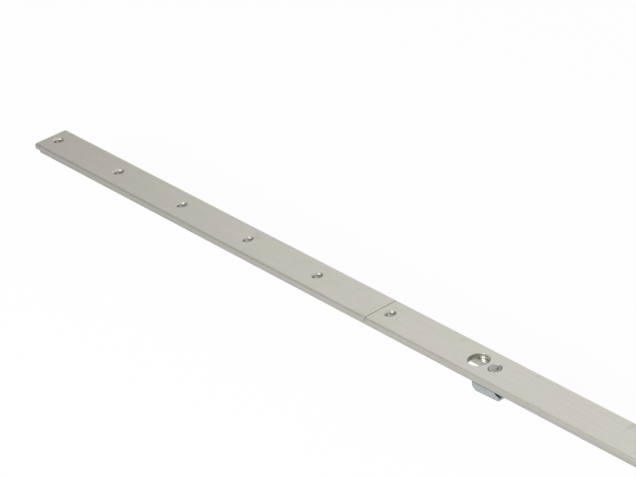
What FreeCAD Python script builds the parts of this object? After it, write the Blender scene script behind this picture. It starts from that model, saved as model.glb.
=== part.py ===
import FreeCAD, Part
import math
import os
import re
import Sketcher

# Window espagnolette: a faceplate in two lengths, a drive rod that slides behind it, and a
# gearbox whose follower takes the handle's square spindle and drives the rod's rack.
# Origin: the spindle axis at mid width. +X runs to the short end, +Y is the width and
# +Z points out of the faceplate. Lengths are in millimetres.

SIZES = (
    ("backset", 15, "spindle axis to the outer face of the faceplate"),
    ("plate_width", 20, "faceplate width"),
    ("plate_thick", 2.5, "faceplate thickness"),
    ("plate_round", 1.1, "rounding of the faceplate's outer edges"),
    ("plate_corner", 1.2, "corner radius at the faceplate's free ends"),
    ("end_plate_len", 251, "end faceplate, which is cut to length"),
    ("split_gap", 0.3, "gap between the two faceplates"),
    ("long_reach", 270, "spindle axis to the joint between the faceplates"),
    ("short_end", 281, "spindle axis to the short end of the faceplate"),
    ("free_margin", 7, "first screw hole to the free end of a faceplate"),
    ("joint_margin", 6, "screw hole of the main faceplate to the joint"),
    ("hole_pitch", 50, "pitch of the screw holes"),
    ("screw_hole", 4.2, "screw hole diameter"),
    ("screw_sink", 5.8, "countersink diameter of a screw hole"),
    ("access_hole", 10.2, "large hole beside the guide rivet"),
    ("access_offset", 10, "large hole to the guide rivet"),
    ("guide_inset", 73.5, "joint between the faceplates to the guide rivet"),
    ("rod_width", 16, "drive rod width"),
    ("rod_thick", 2.9, "drive rod thickness"),
    ("rod_gap", 0.1, "faceplate to drive rod"),
    ("rod_inset", 1, "drive rod end inside the faceplate end"),
    ("rod_corner", 0.6, "corner radius at the drive rod's ends"),
    ("slot_width", 5, "width of the slots in the drive rod"),
    ("stroke", 18, "travel of the drive rod each way"),
    ("end_play", 0.3, "slot length left over at the end of the travel"),
    ("circle_teeth", 12, "follower teeth on a full circle"),
    ("teeth", 9, "follower teeth, and windows in the rack"),
    ("bar_width", 2.5, "rack bar at the pitch line"),
    ("bar_slope", 10, "flank angle of the rack bars in degrees"),
    ("window_width", 7, "width of the rack windows"),
    ("gear_width", 6, "width of the follower's teeth"),
    ("tooth_root", 2.4, "tooth thickness at the root"),
    ("tooth_tip", 2.8, "tooth thickness near the tip"),
    ("tooth_chamfer", 0.45, "chamfer at the tooth tips"),
    ("mesh_play", 0.3, "radial room at the tooth tips and roots"),
    ("journal", 12.4, "follower journal diameter"),
    ("journal_inset", 0.1, "journal end inside the case face"),
    ("spindle", 7, "square handle spindle"),
    ("spindle_play", 0.1, "room round the square spindle"),
    ("running_play", 0.05, "radial running clearance"),
    ("seat_play", 0.03, "radial room of a riveted or seated piece"),
    ("bush_wall", 1.3, "wall of the bearing bushes"),
    ("case_thick", 12, "gearbox thickness over both halves"),
    ("case_gap", 0.3, "drive rod to the gearbox and the guide blocks"),
    ("case_reach", 33, "spindle axis to the gearbox shoulder"),
    ("case_depth", 10, "spindle axis to the gearbox underside"),
    ("arm_reach", 60, "spindle axis to the end of a gearbox arm"),
    ("arm_depth", 7, "depth of a gearbox arm"),
    ("cavity_play", 0.5, "radial room round the teeth"),
    ("side_play", 0.2, "room beside the teeth"),
    ("belly_wall", 2, "gearbox wall under the teeth"),
    ("case_round", 4, "corner radius of the gearbox"),
    ("belly_round", 2, "hollow corner beside the gearbox belly"),
    ("panel_rim", 1.5, "rim round a sunk panel of the gearbox"),
    ("panel_depth", 0.6, "depth of the sunk panels"),
    ("panel_round", 1, "corner radius of the sunk panels"),
    ("boss_wall", 0.9, "raised ring round a rivet or a bush"),
    ("rib_width", 1.2, "rib across a sunk panel"),
    ("handle_pitch", 43, "handle screw centres"),
    ("handle_screw", 5.2, "bore of a handle screw bush"),
    ("handle_bush", 8, "diameter of a handle screw bush"),
    ("bush_collar", 10, "collar of a handle screw bush"),
    ("collar_thick", 3, "collar thickness"),
    ("case_rivet", 3, "gearbox rivet shank"),
    ("case_rivet_head", 4.8, "gearbox rivet head"),
    ("rivet_shoulder", 29, "gearbox rivet near the shoulder, along the rod"),
    ("rivet_belly", 17, "gearbox rivet near the belly, along the rod"),
    ("rivet_arm", 43.5, "gearbox rivet in the arm, along the rod"),
    ("rivet_high", 5.4, "height of the upper gearbox rivets"),
    ("rivet_low", -6.6, "height of the lower gearbox rivets"),
    ("post_reach", 51, "spindle axis to a gearbox post"),
    ("post_shank", 4.8, "shank of a post in its slot"),
    ("post_stem", 4.2, "stem of a post in the faceplate"),
    ("post_head", 6.6, "countersunk head of a post"),
    ("dish_width", 5.2, "dish in a riveted head"),
    ("dish_floor", 1.4, "flat floor of the dish"),
    ("dish_depth", 0.9, "depth of the dish"),
    ("head_sunk", 0.1, "riveted head below the faceplate's face"),
    ("foot_width", 6.4, "foot of a gearbox post"),
    ("foot_thick", 1.5, "thickness of the foot"),
    ("foot_below", 2.6, "gearbox top to the foot"),
    ("block_width", 16, "guide block width"),
    ("block_lead", 6.5, "rivet to the block's lead edge at its top"),
    ("block_lead_low", 4.3, "rivet to the block's lead edge at its bottom"),
    ("lead_slope", 1.7, "height of the sloping part of the lead edge"),
    ("lead_round", 0.8, "rounding of the lead edge"),
    ("block_tail", 6.5, "rivet to the block's tail at its top"),
    ("block_tail_low", 10, "rivet to the block's tail at its bottom"),
    ("tail_nose", 1.5, "height of the blunt end of the tail"),
    ("block_deep", 3.9, "block height at the lead edge"),
    ("block_shallow", 3.3, "block height at the tail"),
    ("block_cheek", 0.7, "cheek outside a slot of the block"),
    ("block_slot", 1.6, "width of the two slots in the block's tail"),
    ("block_floor", 1, "floor under the block's slots"),
    ("block_round", 0.3, "rounding of the block's other lower edges"),
    ("slot_start", 3.2, "rivet to the block's slots"),
    ("block_rivet", 3.4, "rivet stem in the block"),
    ("stud_shank", 4.6, "stud shank in its slot"),
    ("stud_spigot", 3.4, "stud spigot in its washer"),
    ("stud_play", 0.2, "drive rod to the washer"),
    ("washer_width", 9.4, "stud washer diameter"),
    ("washer_thick", 1, "stud washer thickness"),
    ("peen_width", 5, "peened end of a stud"),
    ("peen_thick", 0.6, "height of the peened end"),
    ("splice_reach", 110, "spindle axis to the joint between the rods"),
    ("splice_gap", 0.2, "gap between the two rods"),
    ("splice_len", 28, "splice plate length"),
    ("splice_width", 12, "splice plate width"),
    ("splice_thick", 1.5, "splice plate thickness"),
    ("splice_corner", 1.2, "corner radius of the splice plate"),
    ("splice_inner", 4.2, "rod joint to the inner rivet"),
    ("splice_outer", 10.4, "rod joint to the outer rivet"),
    ("splice_rivet", 3, "splice rivet shank"),
    ("splice_sink", 4.6, "countersunk head of a splice rivet"),
    ("splice_head", 5, "button head of a splice rivet"),
    ("button_thick", 0.9, "height of the button head"),
    ("cam_reach", 82, "spindle axis to a locking cam"),
    ("cam_slot", 8.4, "width of the cam slots in the faceplate"),
    ("cam_neck", 7.8, "neck of the cam in its slot"),
    ("cam_barrel", 10, "barrel of the cam"),
    ("cam_head", 13, "head of the cam"),
    ("cam_throw", 0.8, "eccentric throw of the cam"),
    ("cam_lift", 0.3, "faceplate to the barrel"),
    ("cam_height", 10, "height of the cam over the faceplate"),
    ("cam_cap", 2.8, "thickness of the cam's head"),
    ("cam_key", 4, "hexagon key of the cam"),
    ("key_depth", 1.8, "depth of the hexagon"),
    ("cam_pin", 5, "pin that the cam turns on"),
    ("pin_sink", 6.3, "riveted end of the cam pin"),
    ("pin_chamfer", 0.5, "chamfer at the free end of the cam pin"),
    ("pin_flange", 7.6, "flange of the cam pin"),
    ("flange_thick", 0.8, "thickness of the flange"),
    ("friction_thick", 0.5, "friction washer thickness"),
    ("cam_float", 0.05, "end float of the cam"),
)

# Sizes that follow from the driving sizes.
DERIVED = (
    ("plate_back", "backset - plate_thick", "height of the faceplate's back"),
    ("rod_top", "plate_back - rod_gap", "height of the drive rod's face"),
    ("rod_bottom", "rod_top - rod_thick", "height of the drive rod's underside"),
    ("case_top", "rod_bottom - case_gap", "height of the gearbox top"),
    ("left_end", "-long_reach - end_plate_len", "place of the long end"),
    ("guide_left", "guide_inset - long_reach", "guide rivet on the long side"),
    ("guide_right", "short_end - free_margin - 2.5 * hole_pitch", "guide rivet between two screws"),
    ("slot_run", "stroke + end_play", "half the straight run of a slot"),
    ("pitch_radius", "2 * stroke / pi", "pitch radius of the follower"),
    ("rack_pitch", "4 * stroke / circle_teeth", "pitch of the rack windows"),
    ("tip_radius", "plate_back - mesh_play", "tip radius of the teeth"),
    ("root_radius", "rod_bottom - mesh_play", "root radius of the teeth"),
    ("cavity_radius", "tip_radius + cavity_play", "radius of the gear space"),
    ("cavity_half", "gear_width / 2 + side_play", "half the width of the gear space"),
    ("bush_outer", "journal + 2 * running_play + 2 * bush_wall", "bearing bush diameter"),
    ("pin_top", "rod_top + flange_thick + friction_thick + cam_float", "height of the cam's foot"),
)

TOLERANCE = 0.01

doc = FreeCAD.newDocument("espagnolette")
sheet = doc.addObject("Spreadsheet::Sheet", "Sizes")
for row, (alias, number, meaning) in enumerate(SIZES, start=1):
    sheet.set(f"A{row}", meaning)
    sheet.set(f"B{row}", str(number))
    sheet.setAlias(f"B{row}", alias)
for row, (alias, formula, meaning) in enumerate(DERIVED, start=len(SIZES) + 1):
    sheet.set(f"A{row}", meaning)
    sheet.set(f"B{row}", "=" + formula)
    sheet.setAlias(f"B{row}", alias)
doc.recompute()
ALIASES = {entry[0] for entry in SIZES + DERIVED}
nodes = []


def sized(text):
    """Turn a formula of sheet names into an expression that any object can hold."""
    return re.sub(r"[a-z_]+", lambda m: ("Sizes." if m.group() in ALIASES else "") + m.group(), text)


def value(text):
    """Work out a formula of sheet names."""
    return float(sheet.evalExpression(sized(text)))


def bind(target, path, text):
    """Tie a property to a formula of sheet names."""
    target.setExpression(path, sized(text))


# Helpers for bodies and sketches

def new_body(label, x="0", y="0", z="0", keep=True):
    """Start a body at a place that follows the sheet."""
    body = doc.addObject("PartDesign::Body", label)
    body.Label = label
    for axis, text in zip("xyz", (x, y, z)):
        bind(body, f"Placement.Base.{axis}", text)
    if keep:
        nodes.append(body)
    return body


def origin_part(body, role):
    """Find a plane or an axis of the body's own origin."""
    return next(item for item in body.Origin.OriginFeatures if item.Role == role)


def new_sketch(body, plane, name, right="0", up="0", lift="0"):
    """Start a sketch on an origin plane, moved in and along the plane's normal."""
    sketch = body.newObject("Sketcher::SketchObject", f"{body.Name}_{name}")
    sketch.AttachmentSupport = [(origin_part(body, plane), "")]
    sketch.MapMode = "FlatFace"
    for axis, text in zip("xyz", (right, up, lift)):
        bind(sketch, f"AttachmentOffset.Base.{axis}", text)
    return sketch


def fix_point(sketch, item, end, right, up):
    """Hold a point of the sketch at a place that follows the sheet."""
    for kind, text in (("DistanceX", right), ("DistanceY", up)):
        number = sketch.addConstraint(Sketcher.Constraint(kind, -1, 1, item, end, value(text)))
        bind(sketch, f"Constraints[{number}]", text)


def add_circle(sketch, right, up, width):
    """Draw a circle by its centre and diameter."""
    centre = FreeCAD.Vector(value(right), value(up), 0)
    item = sketch.addGeometry(Part.Circle(centre, FreeCAD.Vector(0, 0, 1), value(width) / 2))
    fix_point(sketch, item, 3, right, up)
    number = sketch.addConstraint(Sketcher.Constraint("Diameter", item, value(width)))
    bind(sketch, f"Constraints[{number}]", width)


def add_polygon(sketch, corners):
    """Draw a closed outline of straight lines through corners given as formulas."""
    points = [FreeCAD.Vector(value(right), value(up), 0) for right, up in corners]
    items = []
    for start, stop in zip(points, points[1:] + points[:1]):
        items.append(sketch.addGeometry(Part.LineSegment(start, stop)))
    for item, following in zip(items, items[1:] + items[:1]):
        sketch.addConstraint(Sketcher.Constraint("Coincident", item, 2, following, 1))
    for item, (right, up) in zip(items, corners):
        fix_point(sketch, item, 1, right, up)


def add_box(sketch, left, right, low, high):
    """Draw an upright rectangle."""
    add_polygon(sketch, [(left, low), (right, low), (right, high), (left, high)])


def add_slot(sketch, first, last, width):
    """Draw a slot along the rod between two end centres."""
    radius = value(width) / 2
    left = FreeCAD.Vector(value(first), 0, 0)
    right = FreeCAD.Vector(value(last), 0, 0)
    rise = FreeCAD.Vector(0, radius, 0)
    normal = FreeCAD.Vector(0, 0, 1)
    quarter = math.pi / 2
    near = sketch.addGeometry(Part.ArcOfCircle(Part.Circle(left, normal, radius), quarter, 3 * quarter))
    far = sketch.addGeometry(Part.ArcOfCircle(Part.Circle(right, normal, radius), -quarter, quarter))
    top = sketch.addGeometry(Part.LineSegment(left + rise, right + rise))
    low = sketch.addGeometry(Part.LineSegment(left - rise, right - rise))
    for arc, end, line, tip in ((near, 1, top, 1), (near, 2, low, 1), (far, 1, low, 2), (far, 2, top, 2)):
        sketch.addConstraint(Sketcher.Constraint("Tangent", arc, end, line, tip))
    sketch.addConstraint(Sketcher.Constraint("Equal", near, far))
    fix_point(sketch, near, 3, first, "0")
    fix_point(sketch, far, 3, last, "0")
    number = sketch.addConstraint(Sketcher.Constraint("Radius", near, radius))
    bind(sketch, f"Constraints[{number}]", f"{width} / 2")


# Helpers for features

def volume_of(body):
    """Recompute and measure the body."""
    doc.recompute()
    return body.Shape.Volume


def add_pad(body, sketch, length, middle=False, backwards=False):
    """Raise a sketch into a solid."""
    pad = body.newObject("PartDesign::Pad", sketch.Name + "_pad")
    pad.Profile = sketch
    pad.SideType = "Symmetric" if middle else "One side"
    pad.Reversed = backwards
    bind(pad, "Length", length)
    return pad


def add_cut(body, sketch, length=None, backwards=False, middle=False):
    """Cut a sketch to a depth, or right through, and make sure that it cuts."""
    before = volume_of(body)
    cut = body.newObject("PartDesign::Pocket", sketch.Name + "_cut")
    cut.Profile = sketch
    if length is None:
        cut.Type = "ThroughAll"
        cut.SideType = "Symmetric"
    else:
        cut.SideType = "Symmetric" if middle else "One side"
        cut.Reversed = backwards
        bind(cut, "Length", length)
    if volume_of(body) > before - TOLERANCE:
        raise RuntimeError(f"{cut.Name} removes nothing")
    return cut


def add_sunk_holes(body, sketch, hole, sink, upwards=False):
    """Drill countersunk holes through the body at the sketch's circles."""
    before = volume_of(body)
    drill = body.newObject("PartDesign::Hole", sketch.Name + "_hole")
    drill.Profile = sketch
    doc.recompute()
    drill.ThreadType = "None"
    drill.DepthType = "ThroughAll"
    drill.HoleCutType = "Countersink"
    drill.HoleCutCustomValues = True
    drill.Reversed = upwards
    bind(drill, "Diameter", hole)
    bind(drill, "HoleCutDiameter", sink)
    drill.HoleCutCountersinkAngle = 90
    if volume_of(body) > before - TOLERANCE:
        raise RuntimeError(f"{drill.Name} removes nothing")
    return drill


def add_turned(body, name, corners, plane="XZ_Plane"):
    """Turn an outline about the sketch's upright axis."""
    sketch = new_sketch(body, plane, name)
    add_polygon(sketch, corners)
    turned = body.newObject("PartDesign::Revolution", f"{body.Name}_{name}_turned")
    turned.Profile = sketch
    turned.ReferenceAxis = (sketch, ["V_Axis"])
    turned.Angle = 360
    return turned


def add_round(body, radius, test):
    """Round the edges of the body whose middle and direction pass the test."""
    doc.recompute()
    base = body.Tip
    chosen = []
    for number, edge in enumerate(base.Shape.Edges, start=1):
        middle = edge.valueAt((edge.FirstParameter + edge.LastParameter) / 2)
        run = edge.valueAt(edge.LastParameter) - edge.valueAt(edge.FirstParameter)
        if test(middle, run):
            chosen.append(f"Edge{number}")
    if not chosen:
        raise RuntimeError(f"no edge to round on {body.Label}")
    fillet = body.newObject("PartDesign::Fillet", f"{body.Name}_round_{len(body.Group)}")
    fillet.Base = (base, chosen)
    bind(fillet, "Radius", radius)
    doc.recompute()
    return fillet


def along(run, axis):
    """True where an edge runs along one axis."""
    other = [abs(part) for name, part in zip("xyz", run) if name != axis]
    return run.Length > TOLERANCE and max(other) < TOLERANCE


def close(number, text):
    """True where a coordinate has the value of a formula."""
    return abs(number - value(text)) < TOLERANCE


def add_group(label, body, places):
    """Repeat one piece at several places as one node of separate solids."""
    copies = []
    for count, (x, y, z) in enumerate(places, start=1):
        copy = doc.addObject("App::Link", f"{label}_{count}")
        copy.LinkedObject = body
        copy.LinkTransform = False
        for axis, text in zip("xyz", (x, y, z)):
            bind(copy, f"Placement.Base.{axis}", text)
        copies.append(copy)
    group = doc.addObject("Part::Compound", label)
    group.Label = label
    group.Links = copies
    nodes.append(group)


# Places along the rod, measured from the spindle axis

END_SCREWS = [f"left_end + free_margin + {step} * hole_pitch" for step in range(5)]
JOINT_SCREW = "joint_margin - long_reach"
SHORT_SCREWS = [f"short_end - free_margin - {step} * hole_pitch" for step in range(4)]
STUDS = [f"left_end + free_margin + {step} * hole_pitch" for step in (1.5, 3.5)]
POSTS = ["-post_reach", "post_reach"]
CAMS = ["-cam_reach", "cam_reach"]


# Faceplates

def make_faceplate(label, start, length, free_end, screws, rivets):
    """A strip with rounded outer edges, countersunk screw holes and rivet holes."""
    body = new_body(label, z="backset")
    sketch = new_sketch(body, "YZ_Plane", "section", lift=start)
    add_box(sketch, "-plate_width / 2", "plate_width / 2", "-plate_thick", "0")
    add_pad(body, sketch, length)
    add_round(body, "plate_corner", lambda mid, run: along(run, "z") and close(mid.x, free_end))
    add_round(body, "plate_round", lambda mid, run: along(run, "x") and close(mid.z, "0"))
    sketch = new_sketch(body, "XY_Plane", "screws")
    for place in screws:
        add_circle(sketch, place, "0", "screw_hole")
    add_sunk_holes(body, sketch, "screw_hole", "screw_sink")
    if rivets:
        sketch = new_sketch(body, "XY_Plane", "rivets")
        for place in rivets:
            add_circle(sketch, place, "0", "post_stem")
        add_sunk_holes(body, sketch, "post_stem + 2 * seat_play", "post_head + 2 * seat_play")
    return body


make_faceplate("end_faceplate", "left_end", "end_plate_len - split_gap", "left_end", END_SCREWS, [])
main_faceplate = make_faceplate(
    "main_faceplate", "-long_reach", "long_reach + short_end", "short_end",
    [JOINT_SCREW] + SHORT_SCREWS, ["guide_left", "guide_right"] + POSTS,
)
openings = new_sketch(main_faceplate, "XY_Plane", "openings")
add_circle(openings, "guide_left - access_offset", "0", "access_hole")
for cam in CAMS:
    add_slot(openings, f"{cam} - slot_run", f"{cam} + slot_run", "cam_slot")
add_cut(main_faceplate, openings)


# Drive rods

def make_rod(label, start, stop, free_end, slots, open_slot):
    """A flat bar with a slot at each screw and post, and an open slot at its free end."""
    body = new_body(label, z="rod_top")
    sketch = new_sketch(body, "XY_Plane", "outline")
    add_box(sketch, start, stop, "-rod_width / 2", "rod_width / 2")
    add_pad(body, sketch, "rod_thick", backwards=True)
    add_round(body, "rod_corner", lambda mid, run: along(run, "z") and close(mid.x, free_end))
    sketch = new_sketch(body, "XY_Plane", "slots")
    for first, last in slots:
        add_slot(sketch, f"{first} - slot_run", f"{last} + slot_run", "slot_width")
    add_slot(sketch, *open_slot, "slot_width")
    add_cut(body, sketch)
    return body


def add_splice_holes(body, places):
    """Countersunk holes for the splice rivets."""
    sketch = new_sketch(body, "XY_Plane", "splice")
    for place in places:
        add_circle(sketch, place, "0", "splice_rivet")
    add_sunk_holes(body, sketch, "splice_rivet + 2 * seat_play", "splice_sink + 2 * seat_play")


end_rod = make_rod(
    "end_rod", "left_end + rod_inset", "-splice_reach - splice_gap", "left_end + rod_inset",
    [(END_SCREWS[1], END_SCREWS[2]), (END_SCREWS[3], END_SCREWS[4]), (JOINT_SCREW, JOINT_SCREW),
     ("guide_left", "guide_left")],
    (f"{END_SCREWS[0]} - slot_run", f"{END_SCREWS[0]} + slot_run"),
)
add_splice_holes(end_rod, ["-splice_reach - splice_inner", "-splice_reach - splice_outer"])

main_rod = make_rod(
    "main_rod", "-splice_reach", "short_end - rod_inset", "short_end - rod_inset",
    [(place, place) for place in POSTS] + [(SHORT_SCREWS[3], SHORT_SCREWS[2]), (SHORT_SCREWS[1],) * 2],
    (f"{SHORT_SCREWS[0]} - slot_run", f"{SHORT_SCREWS[0]} + slot_run"),
)
add_splice_holes(main_rod, ["-splice_reach + splice_inner", "-splice_reach + splice_outer"])

cam_holes = new_sketch(main_rod, "XY_Plane", "cam_holes", lift="-rod_thick")
for cam in CAMS:
    add_circle(cam_holes, cam, "0", "cam_pin")
add_sunk_holes(main_rod, cam_holes, "cam_pin + 2 * seat_play", "pin_sink + 2 * seat_play", upwards=True)

# The rack: windows whose bars lean like the flanks of rack teeth.
window = new_sketch(main_rod, "XZ_Plane", "window", right="-(teeth - 1) / 2 * rack_pitch")
WINDOW_TOP = "(rack_pitch - bar_width) / 2 - (rod_top - pitch_radius) * tan(bar_slope)"
WINDOW_LOW = "(rack_pitch - bar_width) / 2 + (pitch_radius - rod_bottom) * tan(bar_slope)"
add_polygon(window, [
    (f"-({WINDOW_TOP})", "0"), (f"-({WINDOW_LOW})", "-rod_thick"), (WINDOW_LOW, "-rod_thick"), (WINDOW_TOP, "0"),
])
window_cut = add_cut(main_rod, window, "window_width", middle=True)
rack = main_rod.newObject("PartDesign::LinearPattern", "rack")
rack.Originals = [window_cut]
rack.Direction = (origin_part(main_rod, "X_Axis"), [""])
rack.Mode = "Spacing"
bind(rack, "Offset", "rack_pitch")
bind(rack, "Occurrences", "teeth")
main_rod.Tip = rack


# Splice between the rods

splice_plate = new_body("rod_splice_plate", x="-splice_reach", z="rod_bottom")
outline = new_sketch(splice_plate, "XY_Plane", "outline")
add_box(outline, "-splice_len / 2", "splice_len / 2", "-splice_width / 2", "splice_width / 2")
add_pad(splice_plate, outline, "splice_thick", backwards=True)
add_round(splice_plate, "splice_corner", lambda mid, run: along(run, "z"))
holes = new_sketch(splice_plate, "XY_Plane", "holes")
SPLICE_RIVETS = ["-splice_outer", "-splice_inner", "splice_inner", "splice_outer"]
for place in SPLICE_RIVETS:
    add_circle(holes, place, "0", "splice_rivet + 2 * seat_play")
add_cut(splice_plate, holes)

splice_rivet = new_body("splice_rivet", keep=False)
SPLICE_SINK = "(splice_sink - splice_rivet) / 2"
SPLICE_UNDER = "rod_thick + splice_thick"
add_turned(splice_rivet, "profile", [
    ("0", "0"), ("splice_sink / 2", "0"), ("splice_rivet / 2", f"-({SPLICE_SINK})"),
    ("splice_rivet / 2", f"-({SPLICE_UNDER})"), ("splice_head / 2", f"-({SPLICE_UNDER})"),
    ("splice_head / 2 - button_thick / 2", f"-({SPLICE_UNDER} + button_thick)"),
    ("0", f"-({SPLICE_UNDER} + button_thick)"),
])
add_group("splice_rivets", splice_rivet, [(f"-splice_reach + {place}", "0", "rod_top") for place in SPLICE_RIVETS])


# Posts, studs and guide blocks

HEAD_SINK = "(post_head - post_stem) / 2"
DISH = [("0", "-dish_depth"), ("dish_floor / 2", "-dish_depth"), ("dish_width / 2", "-head_sunk")]


def make_post(label, low_end):
    """A riveted post: dished countersunk head, stem in the faceplate and shank in the slot."""
    body = new_body(label, keep=False)
    add_turned(body, "profile", DISH + [
        ("post_head / 2 - head_sunk", "-head_sunk"), ("post_stem / 2", f"-({HEAD_SINK})"), ("post_stem / 2", "-plate_thick"),
        ("post_shank / 2", "-plate_thick"), ("post_shank / 2", "case_top - backset"),
    ] + low_end)
    return body


foot_high = "case_top - backset - foot_below"
case_post = make_post("case_post", [
    ("post_stem / 2", "case_top - backset"), ("post_stem / 2", foot_high), ("foot_width / 2", foot_high),
    ("foot_width / 2", f"{foot_high} - foot_thick"), ("0", f"{foot_high} - foot_thick"),
])
add_group("gearbox_posts", case_post, [(place, "0", "backset") for place in POSTS])

block_under = "case_top - backset - (block_deep + block_shallow) / 2"
guide_post = make_post("guide_post", [
    ("block_rivet / 2", "case_top - backset"), ("block_rivet / 2", block_under), ("0", block_under),
])
add_group("guide_rivets", guide_post, [(place, "0", "backset") for place in ("guide_left", "guide_right")])


def make_guide_block(label, place, turn):
    """A cast block under the rod: rounded lead edge, blunt tail with a slot inside each cheek."""
    body = new_body(label, x=place, z="case_top")
    body.Placement.Rotation = FreeCAD.Rotation(FreeCAD.Vector(0, 0, 1), turn)
    sketch = new_sketch(body, "XZ_Plane", "side")
    add_polygon(sketch, [
        ("-block_lead", "0"), ("-block_lead", "lead_slope - block_deep"), ("-block_lead_low", "-block_deep"),
        ("block_tail_low", "-block_shallow"), ("block_tail_low", "tail_nose - block_shallow"), ("block_tail", "0"),
    ])
    add_pad(body, sketch, "block_width", middle=True)
    add_round(body, "lead_round", lambda mid, run: along(run, "y") and mid.x < 0 and not close(mid.z, "0"))
    add_round(body, "block_round", lambda mid, run: along(run, "y") and close(mid.x, "block_tail_low"))
    sketch = new_sketch(body, "XY_Plane", "slots")
    outer = "block_width / 2 - block_cheek"
    inner = f"{outer} - block_slot"
    add_box(sketch, "slot_start", "block_tail_low + block_floor", inner, outer)
    add_box(sketch, "slot_start", "block_tail_low + block_floor", f"-({outer})", f"-({inner})")
    add_cut(body, sketch, "block_shallow - block_floor")
    sketch = new_sketch(body, "XY_Plane", "rivet")
    add_circle(sketch, "0", "0", "block_rivet + 2 * seat_play")
    add_cut(body, sketch)
    return body


make_guide_block("guide_block_left", "guide_left", 0)
make_guide_block("guide_block_right", "guide_right", 180)

stud = new_body("end_stud", keep=False)
WASHER_TOP = "rod_gap + rod_thick + stud_play"
WASHER_LOW = f"{WASHER_TOP} + washer_thick"
add_turned(stud, "profile", [
    ("0", "0"), ("stud_shank / 2", "0"), ("stud_shank / 2", f"-({WASHER_TOP})"),
    ("stud_spigot / 2", f"-({WASHER_TOP})"), ("stud_spigot / 2", f"-({WASHER_LOW})"),
    ("peen_width / 2", f"-({WASHER_LOW})"), ("peen_width / 2 - peen_thick", f"-({WASHER_LOW} + peen_thick)"),
    ("0", f"-({WASHER_LOW} + peen_thick)"),
])
add_group("end_studs", stud, [(place, "0", "plate_back") for place in STUDS])

washer = new_body("stud_washer", keep=False)
ring = new_sketch(washer, "XY_Plane", "ring")
add_circle(ring, "0", "0", "washer_width")
add_circle(ring, "0", "0", "stud_spigot + 2 * seat_play")
add_pad(washer, ring, "washer_thick", backwards=True)
add_group("stud_washers", washer, [(place, "0", f"plate_back - ({WASHER_TOP})") for place in STUDS])


# Gearbox

def add_relief(body, side):
    """Sunk panels on the outer side of a half, with raised rings round rivets and bushes."""
    far = side > 0
    sketch = new_sketch(body, "XZ_Plane", "panel", lift=f"{-side} * case_thick / 2")
    left = "panel_rim - arm_reach"
    inner = "case_reach - panel_rim"
    top = "case_top - panel_rim"
    low = "case_top - arm_depth + panel_rim"
    deep = "panel_rim - case_depth"
    add_polygon(sketch, [
        (left, top), (left, low), (f"-({inner})", low), (f"-({inner})", deep),
        (inner, deep), (inner, low), (f"-({left})", low), (f"-({left})", top),
    ])
    add_cut(body, sketch, "panel_depth", backwards=far)
    add_round(body, "panel_round", lambda mid, run: along(run, "y") and close(run.Length, "panel_depth"))
    floor = f"{-side} * (case_thick / 2 - panel_depth)"
    rings = [(x, z, "case_rivet_head + 2 * boss_wall") for x, z in CASE_RIVETS]
    rings += [(x, "0", "handle_bush + 4 * boss_wall") for x in ("-handle_pitch / 2", "handle_pitch / 2")]
    for count, (x, z, width) in enumerate(rings):
        sketch = new_sketch(body, "XZ_Plane", f"ring_{count}", lift=floor)
        add_circle(sketch, x, z, width)
        add_pad(body, sketch, "panel_depth", backwards=far)
    sketch = new_sketch(body, "XZ_Plane", "ribs", lift=floor)
    for start in ("-case_reach", "case_reach - rib_width"):
        add_box(sketch, start, f"{start} + rib_width", low, top)
    add_pad(body, sketch, "panel_depth", backwards=far)


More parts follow.
